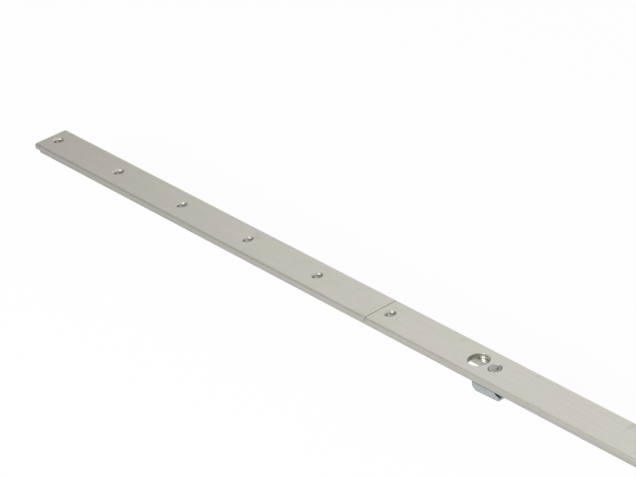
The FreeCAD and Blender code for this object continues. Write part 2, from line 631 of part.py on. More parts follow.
def make_case_half(label, side):
    """One cast half of the gearbox: shoulders, belly, arms, gear space and seats."""
    far = side > 0
    body = new_body(label)
    sketch = new_sketch(body, "XZ_Plane", "outline")
    low = "case_top - arm_depth"
    add_polygon(sketch, [
        ("-arm_reach", "case_top"), ("-arm_reach", low), ("-case_reach", low), ("-case_reach", "-case_depth"),
        ("case_reach", "-case_depth"), ("case_reach", low), ("arm_reach", low), ("arm_reach", "case_top"),
    ])
    add_pad(body, sketch, "case_thick / 2", backwards=far)
    add_round(body, "case_round", lambda mid, run: along(run, "y") and mid.z < value(low) + TOLERANCE)
    add_relief(body, side)
    sketch = new_sketch(body, "XZ_Plane", "belly")
    add_circle(sketch, "0", "0", "2 * (cavity_radius + belly_wall)")
    add_pad(body, sketch, "case_thick / 2", backwards=far)
    trim = new_sketch(body, "XZ_Plane", "trim")
    add_box(trim, "-case_reach", "case_reach", "case_top", "case_top + 2 * case_depth")
    add_cut(body, trim, "case_thick / 2", backwards=not far)
    add_round(body, "belly_round", lambda mid, run: (
        along(run, "y") and close(mid.z, "-case_depth") and abs(mid.x) < value("case_reach / 2")))

    sketch = new_sketch(body, "XZ_Plane", "gear_space")
    add_circle(sketch, "0", "0", "2 * cavity_radius")
    add_cut(body, sketch, "cavity_half", backwards=not far)
    sketch = new_sketch(body, "XZ_Plane", "gear_mouth")
    add_box(sketch, "-cavity_radius", "cavity_radius", "0", "case_top + case_gap")
    add_cut(body, sketch, "cavity_half", backwards=not far)

    sketch = new_sketch(body, "XZ_Plane", "bores")
    add_circle(sketch, "0", "0", "bush_outer + 2 * seat_play")
    for place in ("-handle_pitch / 2", "handle_pitch / 2"):
        add_circle(sketch, place, "0", "handle_bush + 2 * seat_play")
    add_cut(body, sketch)
    sketch = new_sketch(body, "XZ_Plane", "collars")
    for place in ("-handle_pitch / 2", "handle_pitch / 2"):
        add_circle(sketch, place, "0", "bush_collar + 2 * seat_play")
    add_cut(body, sketch, "collar_thick / 2 + seat_play", backwards=not far)

    sketch = new_sketch(body, "XZ_Plane", "rivet_holes", lift=f"{-side} * case_thick / 2")
    for x, z in CASE_RIVETS:
        add_circle(sketch, x, z, "case_rivet")
    add_sunk_holes(body, sketch, "case_rivet + 2 * seat_play", "case_rivet_head + 2 * seat_play", upwards=far)

    for count, place in enumerate(POSTS):
        sketch = new_sketch(body, "XZ_Plane", f"post_seat_{count}", right=place)
        stem = "post_stem / 2 + seat_play"
        foot = "foot_width / 2 + seat_play"
        high = "case_top - foot_below + seat_play"
        deep = "case_top - foot_below - foot_thick - seat_play"
        add_polygon(sketch, [
            ("0", "case_top + case_gap"), (stem, "case_top + case_gap"), (stem, high),
            (foot, high), (foot, deep), ("0", deep),
        ])
        before = volume_of(body)
        seat = body.newObject("PartDesign::Groove", f"{body.Name}_post_seat_cut_{count}")
        seat.Profile = sketch
        seat.ReferenceAxis = (sketch, ["V_Axis"])
        seat.Angle = 360
        if volume_of(body) > before - TOLERANCE:
            raise RuntimeError(f"{seat.Name} removes nothing")
    return body


CASE_RIVETS = [
    (f"{sign}{place}", height)
    for place, height in (("rivet_arm", "rivet_high"), ("rivet_shoulder", "rivet_high"), ("rivet_belly", "rivet_low"))
    for sign in ("-", "")
]
make_case_half("gearbox_case_near", -1)
make_case_half("gearbox_case_far", 1)

case_rivet = new_body("case_rivet", keep=False)
RIVET_SINK = "(case_rivet_head - case_rivet) / 2"
add_turned(case_rivet, "profile", [
    ("0", "-case_thick / 2"), ("case_rivet_head / 2", "-case_thick / 2"),
    ("case_rivet / 2", f"{RIVET_SINK} - case_thick / 2"), ("case_rivet / 2", f"case_thick / 2 - {RIVET_SINK}"),
    ("case_rivet_head / 2", "case_thick / 2"), ("0", "case_thick / 2"),
], plane="XY_Plane")
add_group("case_rivets", case_rivet, [(x, "0", z) for x, z in CASE_RIVETS])

handle_bush = new_body("handle_bush", keep=False)
bore = "handle_screw / 2"
outside = "handle_bush / 2"
collar = "bush_collar / 2"
tip = "case_thick / 2 - journal_inset"
add_turned(handle_bush, "profile", [
    (bore, f"-({tip})"), (outside, f"-({tip})"), (outside, "-collar_thick / 2"), (collar, "-collar_thick / 2"),
    (collar, "collar_thick / 2"), (outside, "collar_thick / 2"), (outside, tip), (bore, tip),
], plane="XY_Plane")
add_group("handle_bushes", handle_bush, [("-handle_pitch / 2", "0", "0"), ("handle_pitch / 2", "0", "0")])

for label, lift, towards in (("bearing_bush_near", "cavity_half", False), ("bearing_bush_far", "-cavity_half", True)):
    bush = new_body(label)
    ring = new_sketch(bush, "XZ_Plane", "ring", lift=lift)
    add_circle(ring, "0", "0", "bush_outer")
    add_circle(ring, "0", "0", "journal + 2 * running_play")
    add_pad(bush, ring, "case_thick / 2 - cavity_half", backwards=towards)


# Follower: toothed sector on a hub with a square socket

follower = new_body("follower")
hub = new_sketch(follower, "XZ_Plane", "hub")
add_circle(hub, "0", "0", "2 * root_radius")
add_pad(follower, hub, "gear_width", middle=True)
journals = new_sketch(follower, "XZ_Plane", "journals")
add_circle(journals, "0", "0", "journal")
add_pad(follower, journals, "case_thick - 2 * journal_inset", middle=True)
tooth = new_sketch(follower, "XZ_Plane", "tooth")
bind(tooth, "AttachmentOffset.Rotation.Angle", "(teeth - 1) / 2 * 360 / circle_teeth")
tooth.AttachmentOffset.Rotation.Axis = FreeCAD.Vector(0, 0, 1)
add_polygon(tooth, [
    ("-tooth_root / 2", "root_radius - mesh_play"), ("tooth_root / 2", "root_radius - mesh_play"),
    ("tooth_tip / 2", "tip_radius - tooth_chamfer"), ("tooth_tip / 2 - tooth_chamfer", "tip_radius"),
    ("tooth_chamfer - tooth_tip / 2", "tip_radius"), ("-tooth_tip / 2", "tip_radius - tooth_chamfer"),
])
tooth_pad = add_pad(follower, tooth, "gear_width", middle=True)
doc.recompute()
ring_of_teeth = follower.newObject("PartDesign::PolarPattern", "ring_of_teeth")
ring_of_teeth.Originals = [tooth_pad]
ring_of_teeth.Axis = (origin_part(follower, "Y_Axis"), [""])
ring_of_teeth.Mode = "Extent"
bind(ring_of_teeth, "Angle", "(teeth - 1) * 360 / circle_teeth")
bind(ring_of_teeth, "Occurrences", "teeth")
follower.Tip = ring_of_teeth
socket = new_sketch(follower, "XZ_Plane", "socket")
half = "(spindle + spindle_play) / 2"
add_box(socket, f"-{half}", half, f"-{half}", half)
add_cut(follower, socket)


# Locking cams: pin, friction washer and eccentric mushroom cam

for label, place in (("left", "-cam_reach"), ("right", "cam_reach")):
    pin = new_body(f"cam_pin_{label}", x=place, z="rod_bottom")
    sink = "(pin_sink - cam_pin) / 2"
    flange = "rod_thick + flange_thick"
    head = "backset + cam_height - key_depth - 2 * cam_throw - rod_bottom"
    add_turned(pin, "profile", [
        ("0", "0"), ("pin_sink / 2", "0"), ("cam_pin / 2", sink), ("cam_pin / 2", "rod_thick"),
        ("pin_flange / 2", "rod_thick"), ("pin_flange / 2", flange), ("cam_pin / 2", flange),
        ("cam_pin / 2", f"{head} - pin_chamfer"), ("cam_pin / 2 - pin_chamfer", head), ("0", head),
    ])

    friction = new_body(f"cam_washer_{label}", x=place, z="rod_top + flange_thick")
    ring = new_sketch(friction, "XY_Plane", "ring")
    add_circle(ring, "0", "0", "pin_flange")
    add_circle(ring, "0", "0", "cam_pin + 2 * seat_play")
    add_pad(friction, ring, "friction_thick")

    cam = new_body(f"cam_{label}", x=place, z="pin_top")
    neck = new_sketch(cam, "XY_Plane", "neck")
    add_circle(neck, "0", "0", "cam_neck")
    add_pad(cam, neck, "backset + cam_lift - pin_top")
    barrel = new_sketch(cam, "XY_Plane", "barrel", lift="backset + cam_lift - pin_top")
    add_circle(barrel, "cam_throw", "0", "cam_barrel")
    add_pad(cam, barrel, "cam_height - cam_lift")
    cap = new_sketch(cam, "XY_Plane", "cap", lift="backset + cam_height - cam_cap - pin_top")
    add_circle(cap, "cam_throw", "0", "cam_head")
    add_pad(cam, cap, "cam_cap")
    add_round(cam, "cam_cap / 3", lambda mid, run: close(mid.z, "backset + cam_height - pin_top"))
    bore = new_sketch(cam, "XY_Plane", "bore")
    add_circle(bore, "0", "0", "cam_pin + 2 * running_play")
    add_cut(cam, bore, f"{head} + rod_bottom - pin_top + cam_float", backwards=True)
    key = new_sketch(cam, "XY_Plane", "key", lift="backset + cam_height - pin_top")
    side = "cam_key / 2 / cos(30)"
    add_polygon(key, [
        (f"{side} * cos({angle})", f"{side} * sin({angle})") for angle in range(0, 360, 60)
    ])
    add_cut(cam, key, "key_depth")


# Checks and files

doc.recompute()
for item in doc.Objects:
    if "Invalid" in item.State or "Error" in item.State:
        raise RuntimeError(f"{item.Label} has failed: {item.State}")
for node in nodes:
    if node.Shape.isNull() or not node.Shape.isValid() or not node.Shape.Solids:
        raise RuntimeError(f"{node.Label} has no valid solid")

os.makedirs("parts", exist_ok=True)
for node in nodes:
    node.Shape.exportStep(os.path.join("parts", node.Label + ".step"))
    print(node.Label, len(node.Shape.Solids), "solids", round(node.Shape.Volume, 1), "cubic mm")
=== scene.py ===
import math

import bmesh
import bpy
from mathutils import Euler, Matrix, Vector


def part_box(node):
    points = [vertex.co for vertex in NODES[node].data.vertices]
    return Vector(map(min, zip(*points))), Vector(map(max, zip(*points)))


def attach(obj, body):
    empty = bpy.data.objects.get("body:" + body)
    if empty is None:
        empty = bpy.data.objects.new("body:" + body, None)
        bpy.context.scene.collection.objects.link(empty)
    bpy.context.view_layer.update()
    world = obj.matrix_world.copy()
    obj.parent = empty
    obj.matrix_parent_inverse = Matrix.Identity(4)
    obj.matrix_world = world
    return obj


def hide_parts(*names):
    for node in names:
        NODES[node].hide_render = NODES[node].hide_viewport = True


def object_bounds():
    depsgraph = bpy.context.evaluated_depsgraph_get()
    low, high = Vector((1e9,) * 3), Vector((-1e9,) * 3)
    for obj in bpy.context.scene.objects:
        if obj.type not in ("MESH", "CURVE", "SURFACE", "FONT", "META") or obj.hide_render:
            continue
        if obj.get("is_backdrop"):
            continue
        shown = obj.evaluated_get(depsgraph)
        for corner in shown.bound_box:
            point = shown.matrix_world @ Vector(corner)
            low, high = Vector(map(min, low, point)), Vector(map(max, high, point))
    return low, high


# Looks of a window espagnolette: a satin zinc-plated faceplate in two lengths, the drive rod
# behind it, a die-cast gearbox with its toothed follower, two guide blocks and two locking cams.
# Metres, in the part's own frame: +X to the short end, +Y across the width, +Z out of the faceplate.

bl_info = {
    "name": "Window espagnolette finish",
    "version": (1, 0, 0),
    "blender": (4, 5, 0),
    "location": "3D View > Sidebar > Espagnolette",
    "description": "Plated, cast, riveted and turned finishes for a window espagnolette",
    "category": "Object",
}

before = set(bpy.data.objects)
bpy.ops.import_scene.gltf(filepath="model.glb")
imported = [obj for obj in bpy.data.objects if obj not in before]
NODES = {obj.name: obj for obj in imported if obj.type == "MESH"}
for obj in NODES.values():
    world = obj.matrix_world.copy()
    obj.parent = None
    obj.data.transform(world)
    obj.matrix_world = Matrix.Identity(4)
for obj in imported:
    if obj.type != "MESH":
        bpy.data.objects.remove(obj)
MM = 0.001
WHITE = (1.0, 1.0, 1.0)


def colour_prop(name, description, default):
    """A colour that the panel can change."""
    return bpy.props.FloatVectorProperty(
        name=name, description=description, default=default, min=0, max=1, size=3, subtype="COLOR"
    )


def vector_prop(name, description, default, **kinds):
    """A place or a turn that the panel can change."""
    return bpy.props.FloatVectorProperty(name=name, description=description, default=default, **kinds)


def number_prop(name, description, default, **kinds):
    """A number that the panel can change."""
    return bpy.props.FloatProperty(name=name, description=description, default=default, **kinds)


def length_prop(name, description, default):
    """A length in metres that the panel can change."""
    return number_prop(name, description, default, min=0, precision=5, subtype="DISTANCE", unit="LENGTH")


def factor_prop(name, description, default):
    """A share from 0 to 1 that the panel can change."""
    return number_prop(name, description, default, min=0, max=1, subtype="FACTOR")


# Sizes and colours

class EspagnoletteFinish(bpy.types.PropertyGroup):
    """Colours and roughness of the finishes."""

    strip_warm: colour_prop("Strip, warm", "Warm grey of the plated strip", (0.66, 0.645, 0.585))
    strip_green: colour_prop("Strip, green", "Greenish patches of the passivation", (0.65, 0.65, 0.57))
    strip_pink: colour_prop("Strip, pink", "Pinkish patches of the passivation", (0.67, 0.64, 0.60))
    strip_rough: factor_prop("Strip roughness", "Roughness of the plated strip", 0.34)
    bar_colour: colour_prop("Rod", "Plated steel of the drive rod", (0.56, 0.55, 0.51))
    bar_rough: factor_prop("Rod roughness", "Roughness of the drive rod", 0.42)
    cast_colour: colour_prop("Casting", "Bluish grey of the zinc castings", (0.47, 0.505, 0.525))
    cast_rough: factor_prop("Casting roughness", "Roughness of the castings", 0.48)
    rivet_colour: colour_prop("Rivets", "Plated steel of rivets, posts and studs", (0.44, 0.44, 0.42))
    rivet_rough: factor_prop("Rivet roughness", "Roughness of the rivets", 0.34)
    sinter_colour: colour_prop("Follower", "Oiled sintered steel of the follower", (0.20, 0.20, 0.205))
    pore_colour: colour_prop("Pores", "Oil in the pores of the follower", (0.05, 0.05, 0.05))
    cam_colour: colour_prop("Cams", "Turned steel of the locking cams", (0.55, 0.55, 0.53))
    # painted shade: the near black that the castings' hollows are darkened with
    hollow_shade_colour: colour_prop("Grease", "Dark grease in the hollows of the castings", (0.04, 0.045, 0.05))
    nylon_colour: colour_prop("Bushes", "Natural nylon of the bushes", (0.78, 0.77, 0.70))
    nylon_shade: colour_prop("Bushes, shade", "Darker tone in the skin of the bushes", (0.45, 0.43, 0.36))
    # also the painted shade in the strip's hollows and on its rounded edges and sides
    marks_and_shade_colour: colour_prop("Marks", "Dull grey of handling marks and dark edges", (0.20, 0.20, 0.18))


class EspagnoletteSizes(bpy.types.PropertyGroup):
    """Sizes of the pieces and patterns that the finish adds."""

    edge_width: length_prop("Edge width", "Width of the worn edge", 0.35 * MM)
    grain_width: length_prop("Grain width", "Width of a rolling line in the strip", 0.12 * MM)
    grain_length: length_prop("Grain length", "Length of a rolling line in the strip", 9 * MM)
    patch_width: length_prop("Patch width", "Size of a tinted patch", 30 * MM)
    pebble_width: length_prop("Cast skin", "Size of the pebbles in the cast skin", 0.45 * MM)
    ring_pitch: length_prop("Turning pitch", "Distance between turning grooves", 0.22 * MM)
    rivet_round: length_prop("Rivet rounding", "Rounding of the edges of rivets, posts and studs", 0.14 * MM)
    rivet_wave: length_prop("Hammer marks", "Unevenness that the riveting leaves", 0.05 * MM)
    rivet_steps: bpy.props.IntProperty(name="Steps", description="Steps round a rivet", default=40, min=8)


class EspagnoletteStage(bpy.types.PropertyGroup):
    """Camera, lamp, world and floor."""

    camera_place: vector_prop(
        "Camera", "Place of the camera", (0.59938, -0.72083, 0.70354), subtype="TRANSLATION", unit="LENGTH"
    )
    camera_turn: vector_prop(
        "Camera turn", "Turn of the camera", [math.radians(angle) for angle in (59.9914, 4.5538, 48.9947)],
        subtype="EULER",
    )
    camera_lens: number_prop("Lens", "Focal length in millimetres", 166.69)
    world_level: number_prop("World", "Level of the soft world light", 0.62)
    wall_colour: colour_prop("Side wall", "Dim side wall that metal mirrors on the left", (0.05, 0.035, 0.01))
    wall_end: factor_prop("Wall end", "White that shows past the end of the side wall and below it", 0.9)
    front_level: factor_prop("Front", "Level of the front of the studio in metal", 0.75)
    floor_colour: colour_prop("Floor", "Pale floor", (0.86, 0.86, 0.86))
    floor_share: factor_prop("Floor white", "Share of plain white that the floor shows", 0.95)
    floor_drop: factor_prop("Floor drop", "How far the floor that metal mirrors falls off on the left", 0.26)
    key_place: vector_prop(
        "Key place", "Place of the key softbox", (-0.20, -1.05, 0.60), subtype="TRANSLATION", unit="LENGTH"
    )
    key_width: length_prop("Key width", "Side of the key softbox", 0.35)
    key_power: number_prop("Key", "Power of the key softbox", 12, subtype="POWER", unit="POWER")


def finish():
    """The colours and roughness that the panel holds."""
    return bpy.context.scene.espagnolette_finish


def sizes():
    """The sizes that the panel holds."""
    return bpy.context.scene.espagnolette_sizes


def stage():
    """The stage's settings that the panel holds."""
    return bpy.context.scene.espagnolette_stage


# Node helpers. A node's place is in steps of the editor's grid.

EDITOR_STEP = (200, 160)
VALUE = "NodeSocketFloat"
VECTOR = "NodeSocketVector"
COLOUR = "NodeSocketColor"
GREY = (0.5, 0.5, 0.5, 1)


def join(tree, source, target):
    """Link an output to an input, or set the input where the source is a plain value."""
    if isinstance(source, bpy.types.NodeSocket):
        tree.links.new(source, target)
    elif target.type == "RGBA":
        target.default_value = (*source, 1)
    else:
        target.default_value = source


def add_node(tree, kind, place=(0, 0), inputs=None, **values):
    """Add a node, set its properties, then link or set the inputs that are given by name or number."""
    node = tree.nodes.new(kind)
    node.location = [part * step for part, step in zip(place, EDITOR_STEP)]
    for name, value in values.items():
        setattr(node, name, value)
    for name, source in (inputs or {}).items():
        join(tree, source, node.inputs[name])
    return node


def add_result(tree, kind, place=(0, 0), inputs=None, **values):
    """Add a node as above and give its first output."""
    return add_node(tree, kind, place, inputs, **values).outputs[0]


def add_math(tree, operation, first, second=0.0, place=(0, 0), clamp=False):
    """Add a Math node and give its result."""
    return add_result(
        tree, "ShaderNodeMath", place, {0: first, 1: second}, operation=operation, use_clamp=clamp
    )


def add_share(tree, mask, share, place=(0, 0)):
    """Give a share of a mask."""
    return add_math(tree, "MULTIPLY", mask, share, place)


def add_highest(tree, masks, place=(0, 0)):
    """Give the highest of several values."""
    highest = masks[0]
    for step, mask in enumerate(masks[1:]):
        highest = add_math(tree, "MAXIMUM", highest, mask, (place[0] + step, place[1]))
    return highest


def add_vector_math(tree, operation, first, second=None, place=(0, 0)):
    """Add a Vector Math node and give its result, a number for a length or a dot product."""
    inputs = {0: first}
    if second is not None:
        inputs["Scale" if operation == "SCALE" else 1] = second
    node = add_node(tree, "ShaderNodeVectorMath", place, inputs, operation=operation)
    return node.outputs["Value" if operation in ("LENGTH", "DOT_PRODUCT") else "Vector"]


def add_range(tree, value, span, ends=(0.0, 1.0), place=(0, 0)):
    """Lead a value smoothly from one end to the other while it crosses a span."""
    node = add_node(tree, "ShaderNodeMapRange", place, interpolation_type="SMOOTHSTEP")
    for source, socket in zip((value, *span, *ends), node.inputs):
        join(tree, source, socket)
    return node.outputs[0]


def add_mix(tree, factor, first, second, place=(0, 0)):
    """Add a colour Mix node and give its result."""
    node = add_node(tree, "ShaderNodeMix", place, {0: factor}, data_type="RGBA")
    join(tree, first, node.inputs[6])
    join(tree, second, node.inputs[7])
    return node.outputs[2]


def add_noise(tree, vector, scale, detail, rough, place=(0, 0)):
    """Add a Noise texture and give its value."""
    inputs = {"Vector": vector, "Scale": scale, "Detail": detail, "Roughness": rough}
    return add_result(tree, "ShaderNodeTexNoise", place, inputs)


def new_group(name, inputs, outputs):
    """Start a shader node group and give it with what it is given and what it puts out."""
    group = bpy.data.node_groups.new(name, "ShaderNodeTree")
    for label, kind, default in inputs:
        socket = group.interface.new_socket(name=label, in_out="INPUT", socket_type=kind)
        if default is not None:
            socket.default_value = default
    for label, kind in outputs:
        group.interface.new_socket(name=label, in_out="OUTPUT", socket_type=kind)
    given = add_node(group, "NodeGroupInput", (-6, 0)).outputs
    return group, given, add_node(group, "NodeGroupOutput", (6, 0)).inputs


# Shared shader node groups

def make_grain():
    """Rolling lines: fine parallel lines of uneven length, drawn out along X."""
    group, given, result = new_group(
        "Rolling grain",
        [("Vector", VECTOR, None), ("Width", VALUE, 0.2 * MM), ("Length", VALUE, 10 * MM)],
        [("Fine", VALUE), ("Broad", VALUE)],
    )
    fine = add_math(group, "DIVIDE", 1.0, given["Width"], (-5, 1))
    long = add_math(group, "DIVIDE", 1.0, given["Length"], (-5, -1))
    scale = add_result(group, "ShaderNodeCombineXYZ", (-4, 0), {0: long, 1: fine, 2: fine})
    drawn = add_vector_math(group, "MULTIPLY", given["Vector"], scale, (-3, 0))
    lines = add_noise(group, drawn, scale=1.0, detail=5.0, rough=0.65, place=(-1, 1))
    bands = add_noise(group, drawn, scale=0.16, detail=3.0, rough=0.5, place=(-1, -1))
    join(group, lines, result["Fine"])
    join(group, bands, result["Broad"])
    return group


def make_tint():
    """Passivation: large soft patches of three close tints."""
    group, given, result = new_group(
        "Passivation tint",
        [("Vector", VECTOR, None), ("Width", VALUE, 40 * MM), ("Base", COLOUR, GREY),
         ("First", COLOUR, GREY), ("Second", COLOUR, GREY)],
        [("Color", COLOUR)],
    )
    apart = (3.1, 1.7, 0.9)
    scale = add_math(group, "DIVIDE", 1.0, given["Width"], (-5, 1))
    shifted = add_vector_math(group, "ADD", given["Vector"], apart, (-4, -1))
    soft = {"scale": scale, "detail": 2.0, "rough": 0.5}
    first = add_noise(group, given["Vector"], **soft, place=(-3, 1))
    first = add_range(group, first, span=(0.44, 0.58), place=(-2, 1))
    second = add_noise(group, shifted, **soft, place=(-3, -1))
    second = add_range(group, second, span=(0.48, 0.64), place=(-2, -1))
    mixed = add_mix(group, first, given["Base"], given["First"], (0, 1))
    join(group, add_mix(group, second, mixed, given["Second"], (2, 0)), result["Color"])
    return group


def make_edge():
    """Edges: a mask of outer edges and a softened normal, both from the shape itself."""
    group, given, result = new_group(
        "Softened edge",
        [("Vector", VECTOR, None), ("Radius", VALUE, 0.3 * MM), ("Chatter", VALUE, 2 * MM)],
        [("Edge", VALUE), ("Normal", VECTOR)],
    )
    bevel = add_result(group, "ShaderNodeBevel", (-4, 1), {"Radius": given["Radius"]}, samples=6)
    shape = add_node(group, "ShaderNodeNewGeometry", (-4, -1)).outputs["Normal"]
    facing = add_vector_math(group, "DOT_PRODUCT", bevel, shape, (-2, 0))
    turned = add_math(group, "SUBTRACT", 1.0, facing, (-1, 0))
    mask = add_range(group, turned, span=(0.01, 0.2), place=(0, 0))
    scale = add_math(group, "DIVIDE", 1.0, given["Chatter"], (-4, -3))
    chatter = add_noise(group, given["Vector"], scale, detail=4.0, rough=0.6, place=(-2, -3))
    uneven = add_range(group, chatter, span=(0.3, 0.7), ends=(0.25, 1.0), place=(0, -3))
    join(group, add_math(group, "MULTIPLY", mask, uneven, (2, 0), clamp=True), result["Edge"])
    join(group, bevel, result["Normal"])
    return group


def make_recess():
    """Recesses: a mask of hollows and inner corners from the shape's occlusion, used to paint shade into
    colours.
    """
    group, given, result = new_group("Recess", [("Distance", VALUE, 3 * MM)], [("Recess", VALUE)])
    recess_shade = add_node(
        group, "ShaderNodeAmbientOcclusion", (-3, 0), {"Distance": given["Distance"]}, samples=4
    )
    deep = add_range(group, recess_shade.outputs["AO"], span=(0.35, 0.95), ends=(1.0, 0.0), place=(0, 0))
    join(group, deep, result["Recess"])
    return group


def make_marks():
    """Handling marks: sparse dull smudges and thin scratches."""
    group, given, result = new_group(
        "Handling marks",
        [("Vector", VECTOR, None), ("Width", VALUE, 12 * MM)],
        [("Smudges", VALUE), ("Scratches", VALUE)],
    )
    scale = add_math(group, "DIVIDE", 1.0, given["Width"], (-5, 1))
    blot = add_noise(group, given["Vector"], scale, detail=6.0, rough=0.62, place=(-3, 2))
    join(group, add_range(group, blot, span=(0.60, 0.76), place=(-1, 2)), result["Smudges"])
    # scratches: the edges of long cells in three directions, kept only in some places
    angles = (0.35, -0.22, 1.2)
    apart_x, apart_y = 0.37, 0.11
    stretch = (0.05, 1, 1)
    cells_per_metre = 420
    lines = []
    for row, angle in enumerate(angles):
        height = -1 - row * 2
        inputs = {
            "Vector": given["Vector"], "Location": (row * apart_x, row * apart_y, 0),
            "Rotation": (0, 0, angle), "Scale": stretch,
        }
        turned = add_result(group, "ShaderNodeMapping", (-4, height), inputs)
        cells = add_node(
            group, "ShaderNodeTexVoronoi", (-2, height), {"Vector": turned, "Scale": cells_per_metre},
            feature="DISTANCE_TO_EDGE",
        )
        reach = cells.outputs["Distance"]
        lines.append(add_range(group, reach, span=(0.0, 0.018), ends=(1.0, 0.0), place=(0, height)))
    thin = add_highest(group, lines, (2, -1))
    where = add_noise(group, given["Vector"], scale=160.0, detail=3.0, rough=0.5, place=(1, 1))
    where = add_range(group, where, span=(0.52, 0.66), place=(3, 1))
    join(group, add_math(group, "MULTIPLY", thin, where, (5, -1)), result["Scratches"])
    return group


def make_pebble():
    """Cast skin: small rounded pebbles, a few pits and slow unevenness."""
    group, given, result = new_group(
        "Cast skin",
        [("Vector", VECTOR, None), ("Width", VALUE, 0.5 * MM)],
        [("Height", VALUE), ("Pits", VALUE)],
    )
    slow_width, pit_width = 7.0, 3.0
    scale = add_math(group, "DIVIDE", 1.0, given["Width"], (-5, 0))
    skin = add_noise(group, given["Vector"], scale, detail=5.0, rough=0.6, place=(-3, 1))
    slow_scale = add_math(group, "DIVIDE", scale, slow_width, (-4, -1))
    slow = add_noise(group, given["Vector"], slow_scale, detail=3.0, rough=0.5, place=(-3, -1))
    pit_scale = add_math(group, "DIVIDE", scale, pit_width, (-4, -3))
    cells = add_node(group, "ShaderNodeTexVoronoi", (-3, -3), {"Vector": given["Vector"], "Scale": pit_scale})
    reach = cells.outputs["Distance"]
    pits = add_range(group, reach, span=(0.12, 0.28), ends=(1.0, 0.0), place=(-1, -3))
    mixed = add_math(group, "ADD", add_share(group, skin, share=0.6, place=(-1, 1)), slow, (1, 0))
    join(group, add_math(group, "SUBTRACT", mixed, pits, (3, 0)), result["Height"])
    join(group, pits, result["Pits"])
    return group


def make_rings():
    """Turning grooves: fine rings about the Z axis of the given vector."""
    group, given, result = new_group(
        "Turning rings",
        [("Vector", VECTOR, None), ("Pitch", VALUE, 0.2 * MM)],
        [("Height", VALUE), ("Bands", VALUE)],
    )
    flat = add_vector_math(group, "MULTIPLY", given["Vector"], (1, 1, 0), (-5, 0))
    reach = add_vector_math(group, "LENGTH", flat, place=(-4, 0))
    parts = add_node(group, "ShaderNodeSeparateXYZ", (-4, -2), {0: given["Vector"]}).outputs
    total = add_math(group, "ADD", reach, parts[2], (-3, 0))
    turns = add_math(group, "DIVIDE", total, given["Pitch"], (-2, 0))
    wave = add_math(group, "SINE", add_math(group, "MULTIPLY", turns, math.tau, (-1, 0)), place=(0, 0))
    bands_per_turn = 0.6
    bands = add_result(
        group, "ShaderNodeTexNoise", (0, -2), {"W": turns, "Scale": bands_per_turn}, noise_dimensions="1D"
    )
    join(group, wave, result["Height"])
    join(group, bands, result["Bands"])
    return group


GROUPS = {}


def group_set():
    """Build the shared node groups once and give them."""
    if not GROUPS:
        GROUPS.update(
            grain=make_grain(), tint=make_tint(), edge=make_edge(), recess=make_recess(),
            marks=make_marks(), pebble=make_pebble(), rings=make_rings(),
        )
    return GROUPS


def add_pattern(tree, kind, row, vector=None, **values):
    """Place a shared group in a material with its own values and give its outputs."""
    if vector is not None:
        values["Vector"] = vector
    return add_node(tree, "ShaderNodeGroup", (-4, row), values, node_tree=group_set()[kind]).outputs


# Materials

def new_material(name, metallic=1.0):
    """Start a material and give its tree and its object coordinates."""
    material = bpy.data.materials.new(name)
    material.use_nodes = True
    tree = material.node_tree
    shader = tree.nodes["Principled BSDF"]
    shader.inputs["Metallic"].default_value = metallic
    shader.location = (1600, 0)
    tree.nodes["Material Output"].location = (2000, 0)
    place = add_node(tree, "ShaderNodeTexCoord", (-6, 0))
    return material, tree, place.outputs["Object"]


def add_dark_tone(tree, colour, mask, place, share=None):
    """Mix the dark colour of marks and of painted shade into a colour by a mask, or by a share of it."""
    if share is not None:
        mask = add_share(tree, mask, share, (place[0] - 1, place[1] + 1))
    return add_mix(tree, mask, colour, finish().marks_and_shade_colour, place)


def feed_shader(tree, colour, rough, height, strength, distance, normal=None):
    """Feed a colour, a roughness and a height to the shader, the height through a Bump node."""
    shader = tree.nodes["Principled BSDF"]
    join(tree, colour, shader.inputs["Base Color"])
    join(tree, rough, shader.inputs["Roughness"])
    inputs = {"Height": height, "Strength": strength, "Distance": distance}
    if normal is not None:
        inputs["Normal"] = normal
    join(tree, add_result(tree, "ShaderNodeBump", (6, -3), inputs), shader.inputs["Normal"])


